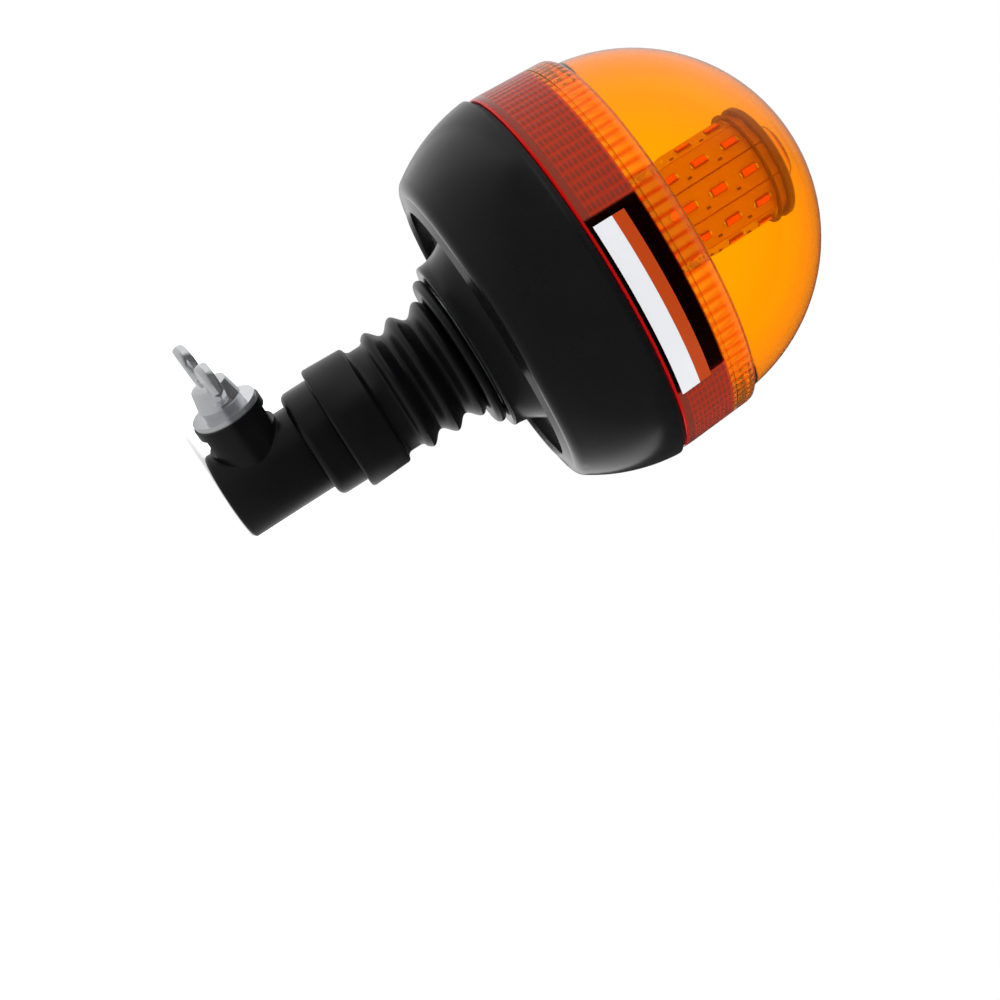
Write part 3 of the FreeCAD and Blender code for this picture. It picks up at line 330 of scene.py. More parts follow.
# amber lens: what its shape and its finish share
lens = {
    "steps": 768,
    "flutes": 110, "fluteDepth": 0.2 * mm,
    "panelEnd": -39.5, "panelCentre": -67.3, "panelHalf": 27.0, "panelSoft": 0.5,  # degrees; the plain panel
    "ridges": 9, "ridgePitch": 1.7 * mm, "ridgeStart": 146.2 * mm, "ridgeDepth": 0.07 * mm, "ridgeWidth": 0.9,
    "ridgeShape": ((0.75, 0.0), (0.5, 0.75), (0.25, 1.0), (0, 0.75), (-0.25, 0.0)),  # place, weight
    "rimTop": 144.8 * mm, "rimRound": 0.6 * mm, "rimEdge": 0.15 * mm,
    "grooveHeight": 162.65 * mm, "grooveDepth": 0.35 * mm, "grooveHalf": 0.15 * mm, "soft": 0.3 * mm,
    "bandTop": 168.6 * mm, "bandTopRadius": 68.7 * mm, "upperDepth": 0.5,  # share of the flutes' depth
    "shoulder": 3 * mm, "shoulderRows": ((0.3, 0.5), (0.6, 0.45), (0.85, 0.25)),  # share of the turn, depth
    "domeRadius": 66 * mm, "domeSteps": 26, "wall": 2.6 * mm, "insideSteps": 24, "insideEnd": 6,
    "skirt": 66.4 * mm, "skirtTop": 164.2 * mm, "gateRadius": 10 * mm, "gateHeight": 0.7 * mm,
}
lensLook = {
    # the valley colour, strengthened by fluteDepth, is painted shade in the flutes' valleys, and the edge
    # colour is painted deep red on the rim's edge
    "dome": "FFF0A0", "band": "FFBE28", "valley": "F04800", "fluteDepth": 1.6, "edge": "F01818",
    # the cell and line colours are a painted reflection of the small prisms, and the panel colour is painted
    # shade
    "pillow": "A04636", "line": "F04020", "panel": "5C3020", "glint": "A85C38",
    "domeFoot": 168.0 * mm, "domeStart": 171.5 * mm, "edgeTop": 142.3 * mm, "edgeFade": 0.3 * mm,
    "panelSoft": 0.8, "gridFoot": 144.9 * mm, "gridTop": 161.0 * mm, "gridFade": 0.4 * mm,
    "clear": 0.4, "haze": 0.8,  # share of light that goes straight through the prisms and the upper flutes
    "depth": 1500.0, "dye": (0.997, 0.895, 0.0),  # how much the wall swallows, and each colour's share kept
    "flow": 25 * mm, "flowDepth": 0.02 * mm,  # slow waves that a mould leaves
}


def besidePanel(tree, x, y, centre, half, end):
    # angle about the axis, and 0 on the plain panel, 1 off it
    angle = addNode(tree, "ShaderNodeMath", {0: y, 1: x}, operation="ARCTAN2").outputs[0]
    off = addNode(tree, "ShaderNodeMath", {0: angle, 1: centre}, operation="SUBTRACT")
    near = addNode(tree, "ShaderNodeMath", {0: off.outputs[0], 1: math.pi, 2: -math.pi}, operation="WRAP")
    away = addNode(tree, "ShaderNodeMath", {0: near.outputs[0]}, operation="ABSOLUTE")
    beside = addNode(tree, "ShaderNodeMapRange", {"Value": away.outputs[0], "From Min": half, "From Max": end})
    return angle, beside.outputs["Result"]


def ripple(tree, turns, operation):
    # round crests with sharp valleys
    wave = addNode(tree, "ShaderNodeMath", {0: turns}, operation=operation)
    return addNode(tree, "ShaderNodeMath", {0: wave.outputs[0]}, operation="ABSOLUTE").outputs[0]


def prismGrid(tree, angle, height):
    # how far a point lies between two flutes, and how much of the painted lines between the prisms it gets
    turns = addNode(tree, "ShaderNodeMath", {
        0: angle, 1: lens["flutes"] / 2, 2: -math.radians(lens["panelEnd"]) * lens["flutes"] / 2},
        operation="MULTIPLY_ADD")
    between = addNode(tree, "ShaderNodeMapRange", {
        "Value": ripple(tree, turns.outputs[0], "SINE"), "From Min": 0.8, "From Max": 0.3, "To Max": 0.45})
    steps = addNode(tree, "ShaderNodeMath", {
        0: height, 1: math.pi / lens["ridgePitch"],
        2: -math.pi * (lens["ridgeStart"] / lens["ridgePitch"] - 0.5)}, operation="MULTIPLY_ADD")
    rows = addNode(tree, "ShaderNodeMapRange", {
        "Value": ripple(tree, steps.outputs[0], "COSINE"), "From Min": 0.88, "From Max": 0.99, "To Max": 0.8})
    lines = addNode(tree, "ShaderNodeMath", {0: between.outputs["Result"], 1: rows.outputs["Result"]},
                    operation="MAXIMUM")
    above = addNode(tree, "ShaderNodeMapRange", {
        "Value": height, "From Min": lensLook["gridFoot"],
        "From Max": lensLook["gridFoot"] + lensLook["gridFade"]})
    drawn = addNode(tree, "ShaderNodeMath", {0: lines.outputs[0], 1: above.outputs["Result"]},
                    operation="MULTIPLY")
    return between.outputs["Result"], drawn.outputs[0]


def amberPolycarbonate():
    # clear polycarbonate: the dye swallows blue first and green next, so a long way through turns red; over
    # the housing's rim the base colour carries a painted reflection of the small prisms, dull cells between
    # red lines
    look = lensLook
    material, tree, shader = newMaterial("amberPolycarbonate", look["dome"], 0.03, IOR=1.5,
                                         Transmission_Weight=1.0, Specular_Tint=linear(look["glint"]))
    place = addNode(tree, "ShaderNodeTexCoord").outputs["Object"]
    split = addNode(tree, "ShaderNodeSeparateXYZ", {"Vector": place}).outputs
    height = split["Z"]
    half = lens["panelHalf"]
    angle, beside = besidePanel(tree, split["X"], split["Y"], math.radians(lens["panelCentre"]),
                                math.radians(half), math.radians(half + look["panelSoft"]))
    # below the grid's top: painted shade on the plain panel, and the painted prism grid beside it
    below = addNode(tree, "ShaderNodeMapRange", {
        "Value": height, "From Min": look["gridTop"] + look["gridFade"], "From Max": look["gridTop"]})
    grid = addNode(tree, "ShaderNodeMath", {0: beside, 1: below.outputs["Result"]}, operation="MULTIPLY")
    between, drawn = prismGrid(tree, angle, height)
    upper = addNode(tree, "ShaderNodeMapRange", {
        "Value": height, "From Min": look["domeFoot"], "From Max": look["domeStart"]})
    # painted shade: the rim's edge is coloured deep red for the long way light takes through it
    edge = addNode(tree, "ShaderNodeMapRange", {
        "Value": height, "From Min": look["edgeTop"] + look["edgeFade"], "From Max": look["edgeTop"]})
    # painted shade: the base colour turns deeper orange towards each flute valley
    deep = addNode(tree, "ShaderNodeMath", {0: between, 1: look["fluteDepth"]}, operation="MULTIPLY")
    # colours laid over each other: share, colour below, colour above
    layers = [
        # painted prism reflection, then painted shade towards the flute valleys
        ("prisms", drawn, "pillow", "line"), ("fluted", deep.outputs[0], "band", "valley"),
        ("body", upper.outputs["Result"], "fluted", "dome"),
        # painted shade: dark brown over the plain panel, and beside it the painted prism grid
        ("lower", below.outputs["Result"], "body", "panel"), ("faced", grid.outputs[0], "lower", "prisms"),
        # painted deep red on the rim's edge
        ("whole", edge.outputs["Result"], "faced", "edge")]
    made = {}
    for name, share, under, over in layers:
        pair = [made[c].outputs[2] if c in made else linear(look[c]) for c in (under, over)]
        made[name] = addNode(tree, "ShaderNodeMix", {0: share, 6: pair[0], 7: pair[1]}, data_type="RGBA")
    dull = addNode(tree, "ShaderNodeMath", {0: grid.outputs[0], 1: edge.outputs["Result"]},
                   operation="MAXIMUM")
    plain = addNode(tree, "ShaderNodeMath", {0: below.outputs["Result"], 1: upper.outputs["Result"]},
                    operation="MAXIMUM")
    haze = addNode(tree, "ShaderNodeMapRange", {
        "Value": plain.outputs[0], "To Min": look["haze"], "To Max": 1.0})
    through = addNode(tree, "ShaderNodeMix", {0: dull.outputs[0], 2: haze.outputs["Result"], 3: look["clear"]})
    flow = addNode(tree, "ShaderNodeTexNoise", {"Vector": place, "Scale": 1 / look["flow"], "Detail": 2.0})
    bump = addNode(tree, "ShaderNodeBump", {
        "Height": flow.outputs["Fac"], "Distance": look["flowDepth"], "Strength": 0.5})
    dye = addNode(tree, "ShaderNodeVolumeAbsorption", {"Color": (*look["dye"], 1), "Density": look["depth"]})
    linkSkin(tree, shader, made["whole"], bump)
    tree.links.new(through.outputs[0], shader.inputs["Transmission Weight"])
    tree.links.new(dye.outputs["Volume"], tree.nodes["Material Output"].inputs["Volume"])
    return material


foilLook = {
    "white": "EDEFF2", "orange": "C04200", "split": 150.7 * mm, "soft": 0.15 * mm,
    "crease": 3 * mm, "creaseDepth": 0.02 * mm,
}


def twoToneFoil():
    # printed vinyl foil: satin, white below and orange above, nothing written on it
    look = foilLook
    material, tree, shader = newMaterial("vinylFoil", look["white"], 0.42, IOR=1.35)
    place = addNode(tree, "ShaderNodeTexCoord").outputs["Object"]
    height = addNode(tree, "ShaderNodeSeparateXYZ", {"Vector": place}).outputs["Z"]
    step = addNode(tree, "ShaderNodeMapRange", {
        "Value": height, "From Min": look["split"], "From Max": look["split"] + look["soft"]})
    mix = addNode(tree, "ShaderNodeMix", {
        0: step.outputs["Result"], 6: linear(look["white"]), 7: linear(look["orange"])}, data_type="RGBA")
    crease = addNode(tree, "ShaderNodeTexNoise", {
        "Vector": place, "Scale": 1 / look["crease"], "Detail": 3.0})
    bump = addNode(tree, "ShaderNodeBump", {
        "Height": crease.outputs["Fac"], "Distance": look["creaseDepth"], "Strength": 0.5})
    linkSkin(tree, shader, mix, bump)
    return material


# glow: painted light, an orange emission in the gel though no diode is lit
gelLook = {"pale": "FF7A2C", "deep": "F06018", "glow": "FF5A10", "paintedGlowStrength": 0.35, "grain": 0.4 * mm}


def phosphorGel():
    # silicone over phosphor: soft and slightly wet, with a painted glow: the gel emits orange light though no
    # diode is lit
    look = gelLook
    material, tree, shader = newMaterial("phosphorGel", look["pale"], 0.2, Emission_Color=linear(look["glow"]),
                                         Emission_Strength=look["paintedGlowStrength"])
    place = addNode(tree, "ShaderNodeTexCoord").outputs["Object"]
    grain = addNode(tree, "ShaderNodeTexNoise", {"Vector": place, "Scale": 1 / look["grain"], "Detail": 2.0})
    mix = addNode(tree, "ShaderNodeMix", {
        0: grain.outputs["Fac"], 6: linear(look["pale"]), 7: linear(look["deep"])}, data_type="RGBA")
    tree.links.new(mix.outputs[2], shader.inputs["Base Color"])
    return material


finishes["amber_lens"] = amberPolycarbonate()
finishes["bare_foil"] = twoToneFoil()
finishes["phosphor_gel"] = phosphorGel()

slotNodes = {
    "socket_plastic": "socket_tube", "stem_rubber": "flex_stem", "base_plastic": "base_housing",
    "insulator_plastic": "contact_insulator contact_cap input_terminal",
    "contact_brass": "contact_pin", "spring_steel": "contact_spring", "chrome_steel": "wing_screw",
    "zinc_steel": "captive_nut flat_washer spring_washer stem_stud stud_washer stud_nut board_screws "
                  "deck_screws tower_screws",
    "driver_circuit_board": "driver_board", "capacitor_sleeve": "smoothing_capacitors",
    "ferrite": "storage_inductor", "chip_epoxy": "driver_chips", "cable_jacket": "supply_cable tower_cable",
    "deck_plastic": "deck_plate", "core_aluminium": "tower_core", "strip_circuit_board": "led_strip",
    "diode_package": "led_set", "retainer_plastic": "strip_retainer", "cap_plastic": "tower_cap",
    "seal_rubber": "lens_gasket", "amber_lens": "lens_dome", "bare_foil": "label_foil",
}
nodeSlots = {name: slot for slot, names in slotNodes.items() for name in names.split()}
for name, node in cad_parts.items():
    kind = name.rstrip("0123456789").rstrip("_")
    node.data.materials.clear()
    node.data.materials.append(finishes[nodeSlots[kind]])
print("finishes mixed")

# the lens's shape, fluted outside its band and ridged inside
def fluteTree():
    names = ["Flutes", "Flute Depth", "Ridge Depth", "Panel End", "Panel Centre", "Panel Half", "Panel Soft"]
    tree, given, result = newTree("fluteLens", [("Geometry", "Geometry")] + [(n, "Float") for n in names])
    place = addNode(tree, "ShaderNodeSeparateXYZ", {0: addNode(tree, "GeometryNodeInputPosition").outputs[0]})
    end = addNode(tree, "ShaderNodeMath", {0: given["Panel Half"], 1: given["Panel Soft"]}, operation="ADD")
    angle, mask = besidePanel(tree, place.outputs["X"], place.outputs["Y"], given["Panel Centre"],
                              given["Panel Half"], end.outputs[0])
    half = addNode(tree, "ShaderNodeMath", {0: given["Flutes"], 1: 0.5}, operation="MULTIPLY")
    past = addNode(tree, "ShaderNodeMath", {0: angle, 1: given["Panel End"]}, operation="SUBTRACT")
    turns = addNode(tree, "ShaderNodeMath", {0: past.outputs[0], 1: half.outputs[0]}, operation="MULTIPLY")
    crest = ripple(tree, turns.outputs[0], "SINE")
    valley = addNode(tree, "ShaderNodeMath", {0: crest, 1: 1.0}, operation="SUBTRACT")
    cut = addNode(tree, "ShaderNodeMath", {0: valley.outputs[0], 1: given["Flute Depth"]},
                  operation="MULTIPLY")
    # each row's own share of the lower flutes, the level inner ridges and the upper flutes
    rows = [addNode(tree, "GeometryNodeInputNamedAttribute", {"Name": name}, data_type="FLOAT").outputs[0]
            for name in ("fluteRow", "ridgeRow", "upperRow")]
    lower = addNode(tree, "ShaderNodeMath", {0: cut.outputs[0], 1: rows[0]}, operation="MULTIPLY")
    ridge = addNode(tree, "ShaderNodeMath", {0: rows[1], 1: given["Ridge Depth"]}, operation="MULTIPLY")
    band = addNode(tree, "ShaderNodeMath", {0: lower.outputs[0], 1: ridge.outputs[0]}, operation="SUBTRACT")
    masked = addNode(tree, "ShaderNodeMath", {0: band.outputs[0], 1: mask}, operation="MULTIPLY")
    upper = addNode(tree, "ShaderNodeMath", {0: cut.outputs[0], 1: rows[2], 2: masked.outputs[0]},
                    operation="MULTIPLY_ADD")
    level = addNode(tree, "ShaderNodeCombineXYZ", {"X": place.outputs["X"], "Y": place.outputs["Y"]})
    outward = addNode(tree, "ShaderNodeVectorMath", {0: level.outputs[0]}, operation="NORMALIZE")
    offset = addNode(tree, "ShaderNodeVectorMath", {0: outward.outputs[0], "Scale": upper.outputs[0]},
                     operation="SCALE")
    moved = addNode(tree, "GeometryNodeSetPosition", {
        "Geometry": given["Geometry"], "Offset": offset.outputs[0]})
    return closeTree(tree, moved.outputs[0], finishes["amber_lens"], result)


def lensOutside(low, rim, centre):
    # rows of radius, height, and the weights of the lower flutes, the ridges and the upper flutes
    c = lens
    bandTop, upper, soft = c["bandTop"], c["upperDepth"], c["soft"]
    groove, deep, half = c["grooveHeight"], c["grooveDepth"], c["grooveHalf"]
    wide = half + soft + 0.05 * mm
    slope = (rim - c["bandTopRadius"]) / (bandTop - c["rimTop"])
    rows = [(rim - c["rimRound"], low, 0, 0, 0), (rim - c["rimEdge"], low + c["rimEdge"], 0, 0, 0),
            (rim, low + c["rimRound"], 0, 0, 0), (rim, c["rimTop"] - 0.2 * mm, 0, 0, 0)]
    # height, cut into the band, share of the lower flutes, share of the upper flutes
    band = [(c["rimTop"], 0.1 * mm, 0, 0), (c["rimTop"] + soft, 0, 1, 0), (groove - wide, 0, 1, 0),
            (groove - 2 * half, 0, 0, 0), (groove - half, deep, 0, 0), (groove + half, deep, 0, 0),
            (groove + 2 * half, 0, 0, 0), (groove + wide, 0, 0, upper), (bandTop - soft, 0, 0, upper),
            (bandTop, 0, 0, upper)]
    rows += [(rim - slope * (z - c["rimTop"]) - cut, z, lower, 0, share) for z, cut, lower, share in band]
    domeFoot = math.degrees(math.asin((bandTop + c["shoulder"] - centre) / c["domeRadius"]))
    dome = arcPoints((0, centre), c["domeRadius"], domeFoot, 90, c["domeSteps"])
    foot = dome[0]
    for share, flute in c["shoulderRows"]:
        turn = math.radians(90 * share)
        rows.append((foot[0] + (c["bandTopRadius"] - foot[0]) * math.cos(turn),
                     bandTop + (foot[1] - bandTop) * math.sin(turn), 0, 0, flute))
    return rows + [(r, z, 0, 0, 0) for r, z in dome[:-1]] + [(0, dome[-1][1], 0, 0, 0)]


def lensInside(low, centre):
    c = lens
    inside, gate, skirt, soft = c["domeRadius"] - c["wall"], c["gateRadius"], c["skirt"], c["soft"]
    gateTop = centre + inside - c["gateHeight"]
    gateAngle = math.degrees(math.acos(gate / inside))
    run = [(0, gateTop), (gate - soft, gateTop - soft)]
    run += arcPoints((0, centre), inside, gateAngle, c["insideEnd"], c["insideSteps"])
    run += [(skirt, c["skirtTop"])]
    rows = [(radius, height, 0, 0, 0) for radius, height in run]
    for index in reversed(range(c["ridges"])):
        height = c["ridgeStart"] + index * c["ridgePitch"]
        rows += [(skirt, height + step * c["ridgePitch"] * c["ridgeWidth"], 0, weight, 0)
                 for step, weight in c["ridgeShape"]]
    return rows + [(skirt, low + soft, 0, 0, 0), (skirt + soft, low, 0, 0, 0)]


def makeLens():
    low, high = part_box("lens_dome")
    centre = high.z - lens["domeRadius"]
    rows = lensOutside(low.z, high.x, centre) + lensInside(low.z, centre)
    labels = ("fluteRow", "ridgeRow", "upperRow")
    weights = {label: [row[i + 2] for row in rows] for i, label in enumerate(labels)}
    base = lathe("lensBase", [row[:2] for row in rows], lens["steps"], weights)
    values = {"Flutes": float(lens["flutes"]), "Flute Depth": lens["fluteDepth"],
              "Ridge Depth": lens["ridgeDepth"]}
    for side in ("End", "Centre", "Half", "Soft"):
        values["Panel " + side] = math.radians(lens["panel" + side])
    piece = makePiece("amberLens", runTree("lens", fluteTree(), values, base), sharp=30)
    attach(piece, "lens")
    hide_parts("lens_dome")


makeLens()
print("lens fluted")

# rubber stem, in two halves that meet on the middle rib's crest
stem = {
    "steps": 160, "bore": 7 * mm, "inside": 17.75 * mm, "insideTop": 57.85 * mm, "chamfer": 0.3 * mm,
    "sleeveBottom": 43.5 * mm, "sleeveTop": 59.7 * mm, "sleeve": 23.5 * mm, "sleeveUpper": 22.9 * mm,
    "corner": 1.3 * mm, "hollow": 2.0 * mm, "waist": 20.1 * mm, "waistRun": 1.2 * mm,
    "crest": 23.0 * mm, "root": 19.2 * mm, "pitch": 10.1 * mm, "firstCrest": 69.0 * mm, "ribs": 3,
    "flangeBottom": 92.0 * mm, "flangeTop": 95.9 * mm, "flange": 28.5 * mm,
    "seat": 24.8 * mm, "seatBottom": 93.9 * mm,
    "sideStart": 62 * mm, "foreEnd": 91.5 * mm,  # heights where the rubber starts and stops bending; nothing reads them, and the stem is built straight
}


def ribRadius(height):
    turn = 2 * math.pi * (height - stem["firstCrest"]) / stem["pitch"]
    return (stem["crest"] + stem["root"]) / 2 + (stem["crest"] - stem["root"]) / 2 * math.cos(turn)


def ribRun(first, last, steps):
    heights = [first + (last - first) * i / steps for i in range(steps + 1)]
    return [(ribRadius(z), z) for z in heights]


def innerRun(radius, first, last, steps):
    return [(radius, first + (last - first) * i / steps) for i in range(steps + 1)]


def bentPiece(name, mesh, slotName, nodes=()):
    piece = makePiece(name, mesh, finishes[slotName])
    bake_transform(piece)
    if nodes:
        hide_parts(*nodes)
    return piece


def makeStem():
    s = stem
    middle = s["firstCrest"] + s["pitch"]
    quarter = s["pitch"] / 4
    c = s["corner"]
    lower = [(s["inside"], s["sleeveBottom"] + s["chamfer"]), (s["inside"] + s["chamfer"], s["sleeveBottom"])]
    lower += arcPoints((s["sleeve"] - c, s["sleeveBottom"] + c), c, -90, 0, 6)
    lower += arcPoints((s["sleeveUpper"] - c, s["sleeveTop"] - c), c, 0, 90, 6)
    hollow = s["hollow"]
    lower += arcPoints((s["waist"] + hollow, s["sleeveTop"] + hollow), hollow, 270, 180, 6)
    lower += [(s["waist"], s["sleeveTop"] + hollow + s["waistRun"])]
    lower += arcPoints((s["waist"] + hollow, s["firstCrest"] - quarter - hollow * 0.7), hollow, 180, 118, 4)
    lower += ribRun(s["firstCrest"] - quarter + s["chamfer"], middle, 26)
    lower += innerRun(s["bore"], middle, s["insideTop"], 12)
    lower += [(s["inside"], s["insideTop"])]
    bentPiece("stemLower", lathe("stemLower", lower, s["steps"]),
              "stem_rubber", ["flex_stem"])
    half = (s["flangeTop"] - s["flangeBottom"]) / 2
    upper = ribRun(middle, s["firstCrest"] + s["pitch"] * (s["ribs"] - 1) + quarter, 20)
    root = ribRadius(upper[-1][1])
    upper += [(root - 0.5 * mm, s["flangeBottom"] - 0.25 * mm), (root + 0.4 * mm, s["flangeBottom"])]
    upper += arcPoints((s["flange"] - half, s["flangeBottom"] + half), half, -90, 90, 12)
    upper += [(s["seat"], s["flangeTop"]), (s["seat"], s["seatBottom"])]
    upper += innerRun(s["bore"], s["seatBottom"], middle, 12)
    bentPiece("stemUpper", lathe("stemUpper", upper, s["steps"]),
              "stem_rubber")


makeStem()

cable = {"sides": 24, "lowerRows": 16, "upperRows": 20}


def makeCable():
    low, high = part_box("supply_cable")
    radius, sides = high.x, cable["sides"]
    middle = stem["firstCrest"] + stem["pitch"]
    lower = innerRun(radius, low.z, middle, cable["lowerRows"]) + [(0, middle), (0, low.z)]
    upper = innerRun(radius, middle, high.z, cable["upperRows"]) + [(0, high.z), (0, middle)]
    bentPiece("cableLower", lathe("cableLower", lower, sides),
              "cable_jacket", ["supply_cable"])
    bentPiece("cableUpper", lathe("cableUpper", upper, sides),
              "cable_jacket")


makeCable()
print("stem and cable made")

# wing screw: cast head and cut thread
screw = {
    "angle": 210, "spin": 10, "height": 15.7 * mm,  # degrees about the tube and the screw; place up the tube
    "tip": 12.5 * mm, "foot": 31.4 * mm, "shank": 3.95 * mm, "core": 3.35 * mm, "pitch": 1.25 * mm,
    "threadSteps": 36, "threadSides": 4,
    "hub": 8.0 * mm, "hubTop": 6.5 * mm, "hubHeight": 9.0 * mm, "hubEdge": 0.4 * mm, "crown": 1.2 * mm,
    "span": 39.0 * mm, "wingHeight": 20.0 * mm, "thickness": 4.4 * mm, "swell": 1.25, "thinning": 0.35,
    # a wing's outline in mm: out from the axis and up from the head's foot
    "under": ((3, 1.6), (7.5, 1.8), (12.5, 4.6), (17.2, 9.2)), "over": ((8.6, 11.2), (6.8, 8.6), (3, 7.8)),
    "ear": 5.6 * mm, "middle": (10.5, 9), "cast": 0.3 * mm, "smooth": 8,
    "layers": ((-0.5, 0.9), (-0.3, 0.3), (0, 0), (0.3, 0.3), (0.5, 0.9)),  # share of thickness, mm drawn in
}
screwTurn = Matrix.Translation((0, 0, screw["height"]))
for degrees, axis in ((screw["angle"], "Z"), (90, "Y"), (screw["spin"], "Z")):
    screwTurn = screwTurn @ Matrix.Rotation(math.radians(degrees), 4, axis)


def curveRun(points, steps):
    # smooth run through the points (Catmull-Rom), ends included
    run = []
    padded = [points[0]] + points + [points[-1]]
    for a, b, c, d in zip(padded, padded[1:], padded[2:], padded[3:]):
        for i in range(steps):
            t = i / steps
            run.append(tuple(0.5 * (2 * q + (r - p) * t + (2 * p - 5 * q + 4 * r - s) * t * t
                                    + (3 * q - p - 3 * r + s) * t ** 3) for p, q, r, s in zip(a, b, c, d)))
    return run + [tuple(points[-1])]


def castHead():
    w = screw
    foot = w["foot"]
    hubTop = foot + w["hubHeight"]
    half, ear = w["span"] / 2, w["ear"]
    work = bmesh.new()
    hub = [(w["hub"] - w["hubEdge"], foot), (w["hub"], foot + w["hubEdge"]),
           (w["hubTop"], hubTop - w["crown"]), (w["hubTop"] * 0.6, hubTop - 0.3 * mm), (0, hubTop), (0, foot)]
    work.from_mesh(lathe("hub", hub, 64))
    for side in (1, -1):
        tip = (half - ear, foot + w["wingHeight"] - ear)
        under, over = ([(y * mm, foot + z * mm) for y, z in w[run]] for run in ("under", "over"))
        run = curveRun(under, 6) + arcPoints(tip, ear, -5, 175, 16) + curveRun(over, 6)
        centre = (w["middle"][0] * mm, foot + w["middle"][1] * mm)
        rings = []
        for x, inset in w["layers"]:
            ring = []
            for y, z in run:
                reach = math.hypot(y - centre[0], z - centre[1])
                pull = max(reach - inset * mm, 0) / reach
                swell = w["swell"] - w["thinning"] * min(1, y / half)  # thicker at the root
                y, z = centre[0] + (y - centre[0]) * pull, centre[1] + (z - centre[1]) * pull
                ring.append(work.verts.new((x * w["thickness"] * swell, side * y, z)))
            rings.append(ring)
        joinRings(work, rings)
    holder = addObject("castHead", finishMesh(work, "castHead"))
    cast = holder.modifiers.new("cast", "REMESH")
    cast.mode = "VOXEL"
    cast.voxel_size = w["cast"]
    soft = holder.modifiers.new("soft", "SMOOTH")
    soft.iterations = w["smooth"]
    soft.factor = 0.5
    return takeMesh(holder)


def makeScrew():
    w = screw
    root = w["foot"] + 1 * mm  # the shank runs a little way into the head
    shank = lathe("shank", [(0, w["tip"]), (w["core"] - 0.4 * mm, w["tip"]), (w["core"], w["tip"] + 0.5 * mm),
                            (w["core"], root), (0, root)], 48)
    tooth = w["shank"] - w["core"]
    length = w["foot"] - w["tip"] - 2 * tooth
    thread = runTree("thread", coilTree(), {
        "Radius": w["core"], "Wire": tooth, "Turns": length / w["pitch"], "Height": length,
        "Foot": w["tip"] + tooth, "Steps": w["threadSteps"], "Sides": w["threadSides"],
        "Finish": finishes["chrome_steel"]})
    work = bmesh.new()
    for mesh in (castHead(), shank, thread):
        work.from_mesh(mesh)
    bmesh.ops.transform(work, matrix=screwTurn, verts=work.verts)
    piece = makePiece("wingScrew", finishMesh(work, "wingScrew"), finishes["chrome_steel"], 40)
    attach(piece, "clamp_screw")
    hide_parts("wing_screw")


makeScrew()
print("wing screw cast")

# diodes in rows on the ten strips
diodes = {
    "strips": 10, "rows": 4, "first": 172.0 * mm, "pitch": 12.2 * mm, "reach": 18.83 * mm, "startAngle": -81.4,
    "corner": 19.79 * mm,  # radius over the strips' corners
    "width": 3.0 * mm, "length": 5.7 * mm, "height": 0.9 * mm,
    "well": 0.3 * mm, "rim": 0.22 * mm, "dome": 0.12 * mm, "leadOut": 0.3 * mm, "resistorSide": 3.4 * mm,
    # stacked rectangles in mm: depth, half width, half height
    "lead": ((0, 1.0, 0.45), (0.25, 0.9, 0.4), (0.3, 0.6, 0.2)),
    "resistor": ((0, 0.4, 0.7), (0.35, 0.4, 0.7), (0.4, 0.35, 0.65)),
}


def towerTree():
    names = [("Part", "Object"), ("Strips", "Int"), ("Rows", "Int"), ("Finish", "Material")]
    names += [(n, "Float") for n in ("First", "Pitch", "Reach", "Start Angle", "Side")]
    tree, given, result = newTree("towerRows", names)
    part = addNode(tree, "GeometryNodeObjectInfo", {"Object": given["Part"]})
    start = addNode(tree, "ShaderNodeCombineXYZ", {"Y": given["Side"], "Z": given["First"]})
    step = addNode(tree, "ShaderNodeCombineXYZ", {"Z": given["Pitch"]})
    column = addNode(tree, "GeometryNodeMeshLine", {
        "Count": given["Rows"], "Start Location": start.outputs[0], "Offset": step.outputs[0]})
    rows = addNode(tree, "GeometryNodeInstanceOnPoints", {
        "Points": column.outputs[0], "Instance": part.outputs["Geometry"]})
    out = addNode(tree, "ShaderNodeCombineXYZ", {"X": given["Reach"]})
    face = addNode(tree, "GeometryNodeTransform", {"Geometry": rows.outputs[0], "Translation": out.outputs[0]})
    seat = addNode(tree, "GeometryNodeMeshLine", {"Count": given["Strips"], "Offset": (0, 0, 0)})
    number = addNode(tree, "GeometryNodeInputIndex")
    share = addNode(tree, "ShaderNodeMath", {0: 2 * math.pi, 1: given["Strips"]}, operation="DIVIDE")
    angle = addNode(tree, "ShaderNodeMath", {
        0: number.outputs[0], 1: share.outputs[0], 2: given["Start Angle"]}, operation="MULTIPLY_ADD")
    turn = addNode(tree, "ShaderNodeCombineXYZ", {"Z": angle.outputs[0]})
    around = addNode(tree, "GeometryNodeInstanceOnPoints", {
        "Points": seat.outputs[0], "Instance": face.outputs[0], "Rotation": turn.outputs[0]})
    return closeTree(tree, around.outputs[0], given["Finish"], result)


def blockRings(rings):
    # stacked rectangles (depth, half width, half height), facing +X
    work = bmesh.new()
    corners = ((-1, -1), (1, -1), (1, 1), (-1, 1))
    joinRings(work, [[work.verts.new((x, sy * w, sz * h)) for sy, sz in corners] for x, w, h in rings])
    return work


def rowsOf(name, work, tree, material, side=0.0, lift=0.0, rows=None, nodes=()):
    holder = addObject(name + "Seed", finishMesh(work, name + "Seed"))
    t = diodes
    mesh = runTree(name, tree, {
        "Part": holder, "Strips": t["strips"], "Rows": rows or t["rows"], "First": t["first"] + lift,
        "Pitch": t["pitch"], "Reach": t["reach"], "Start Angle": math.radians(t["startAngle"]), "Side": side,
        "Finish": material})
    bpy.data.objects.remove(holder)
    piece = makePiece(name, mesh, sharp=25)
    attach(piece, "head")
    if nodes:
        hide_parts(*nodes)
    return piece


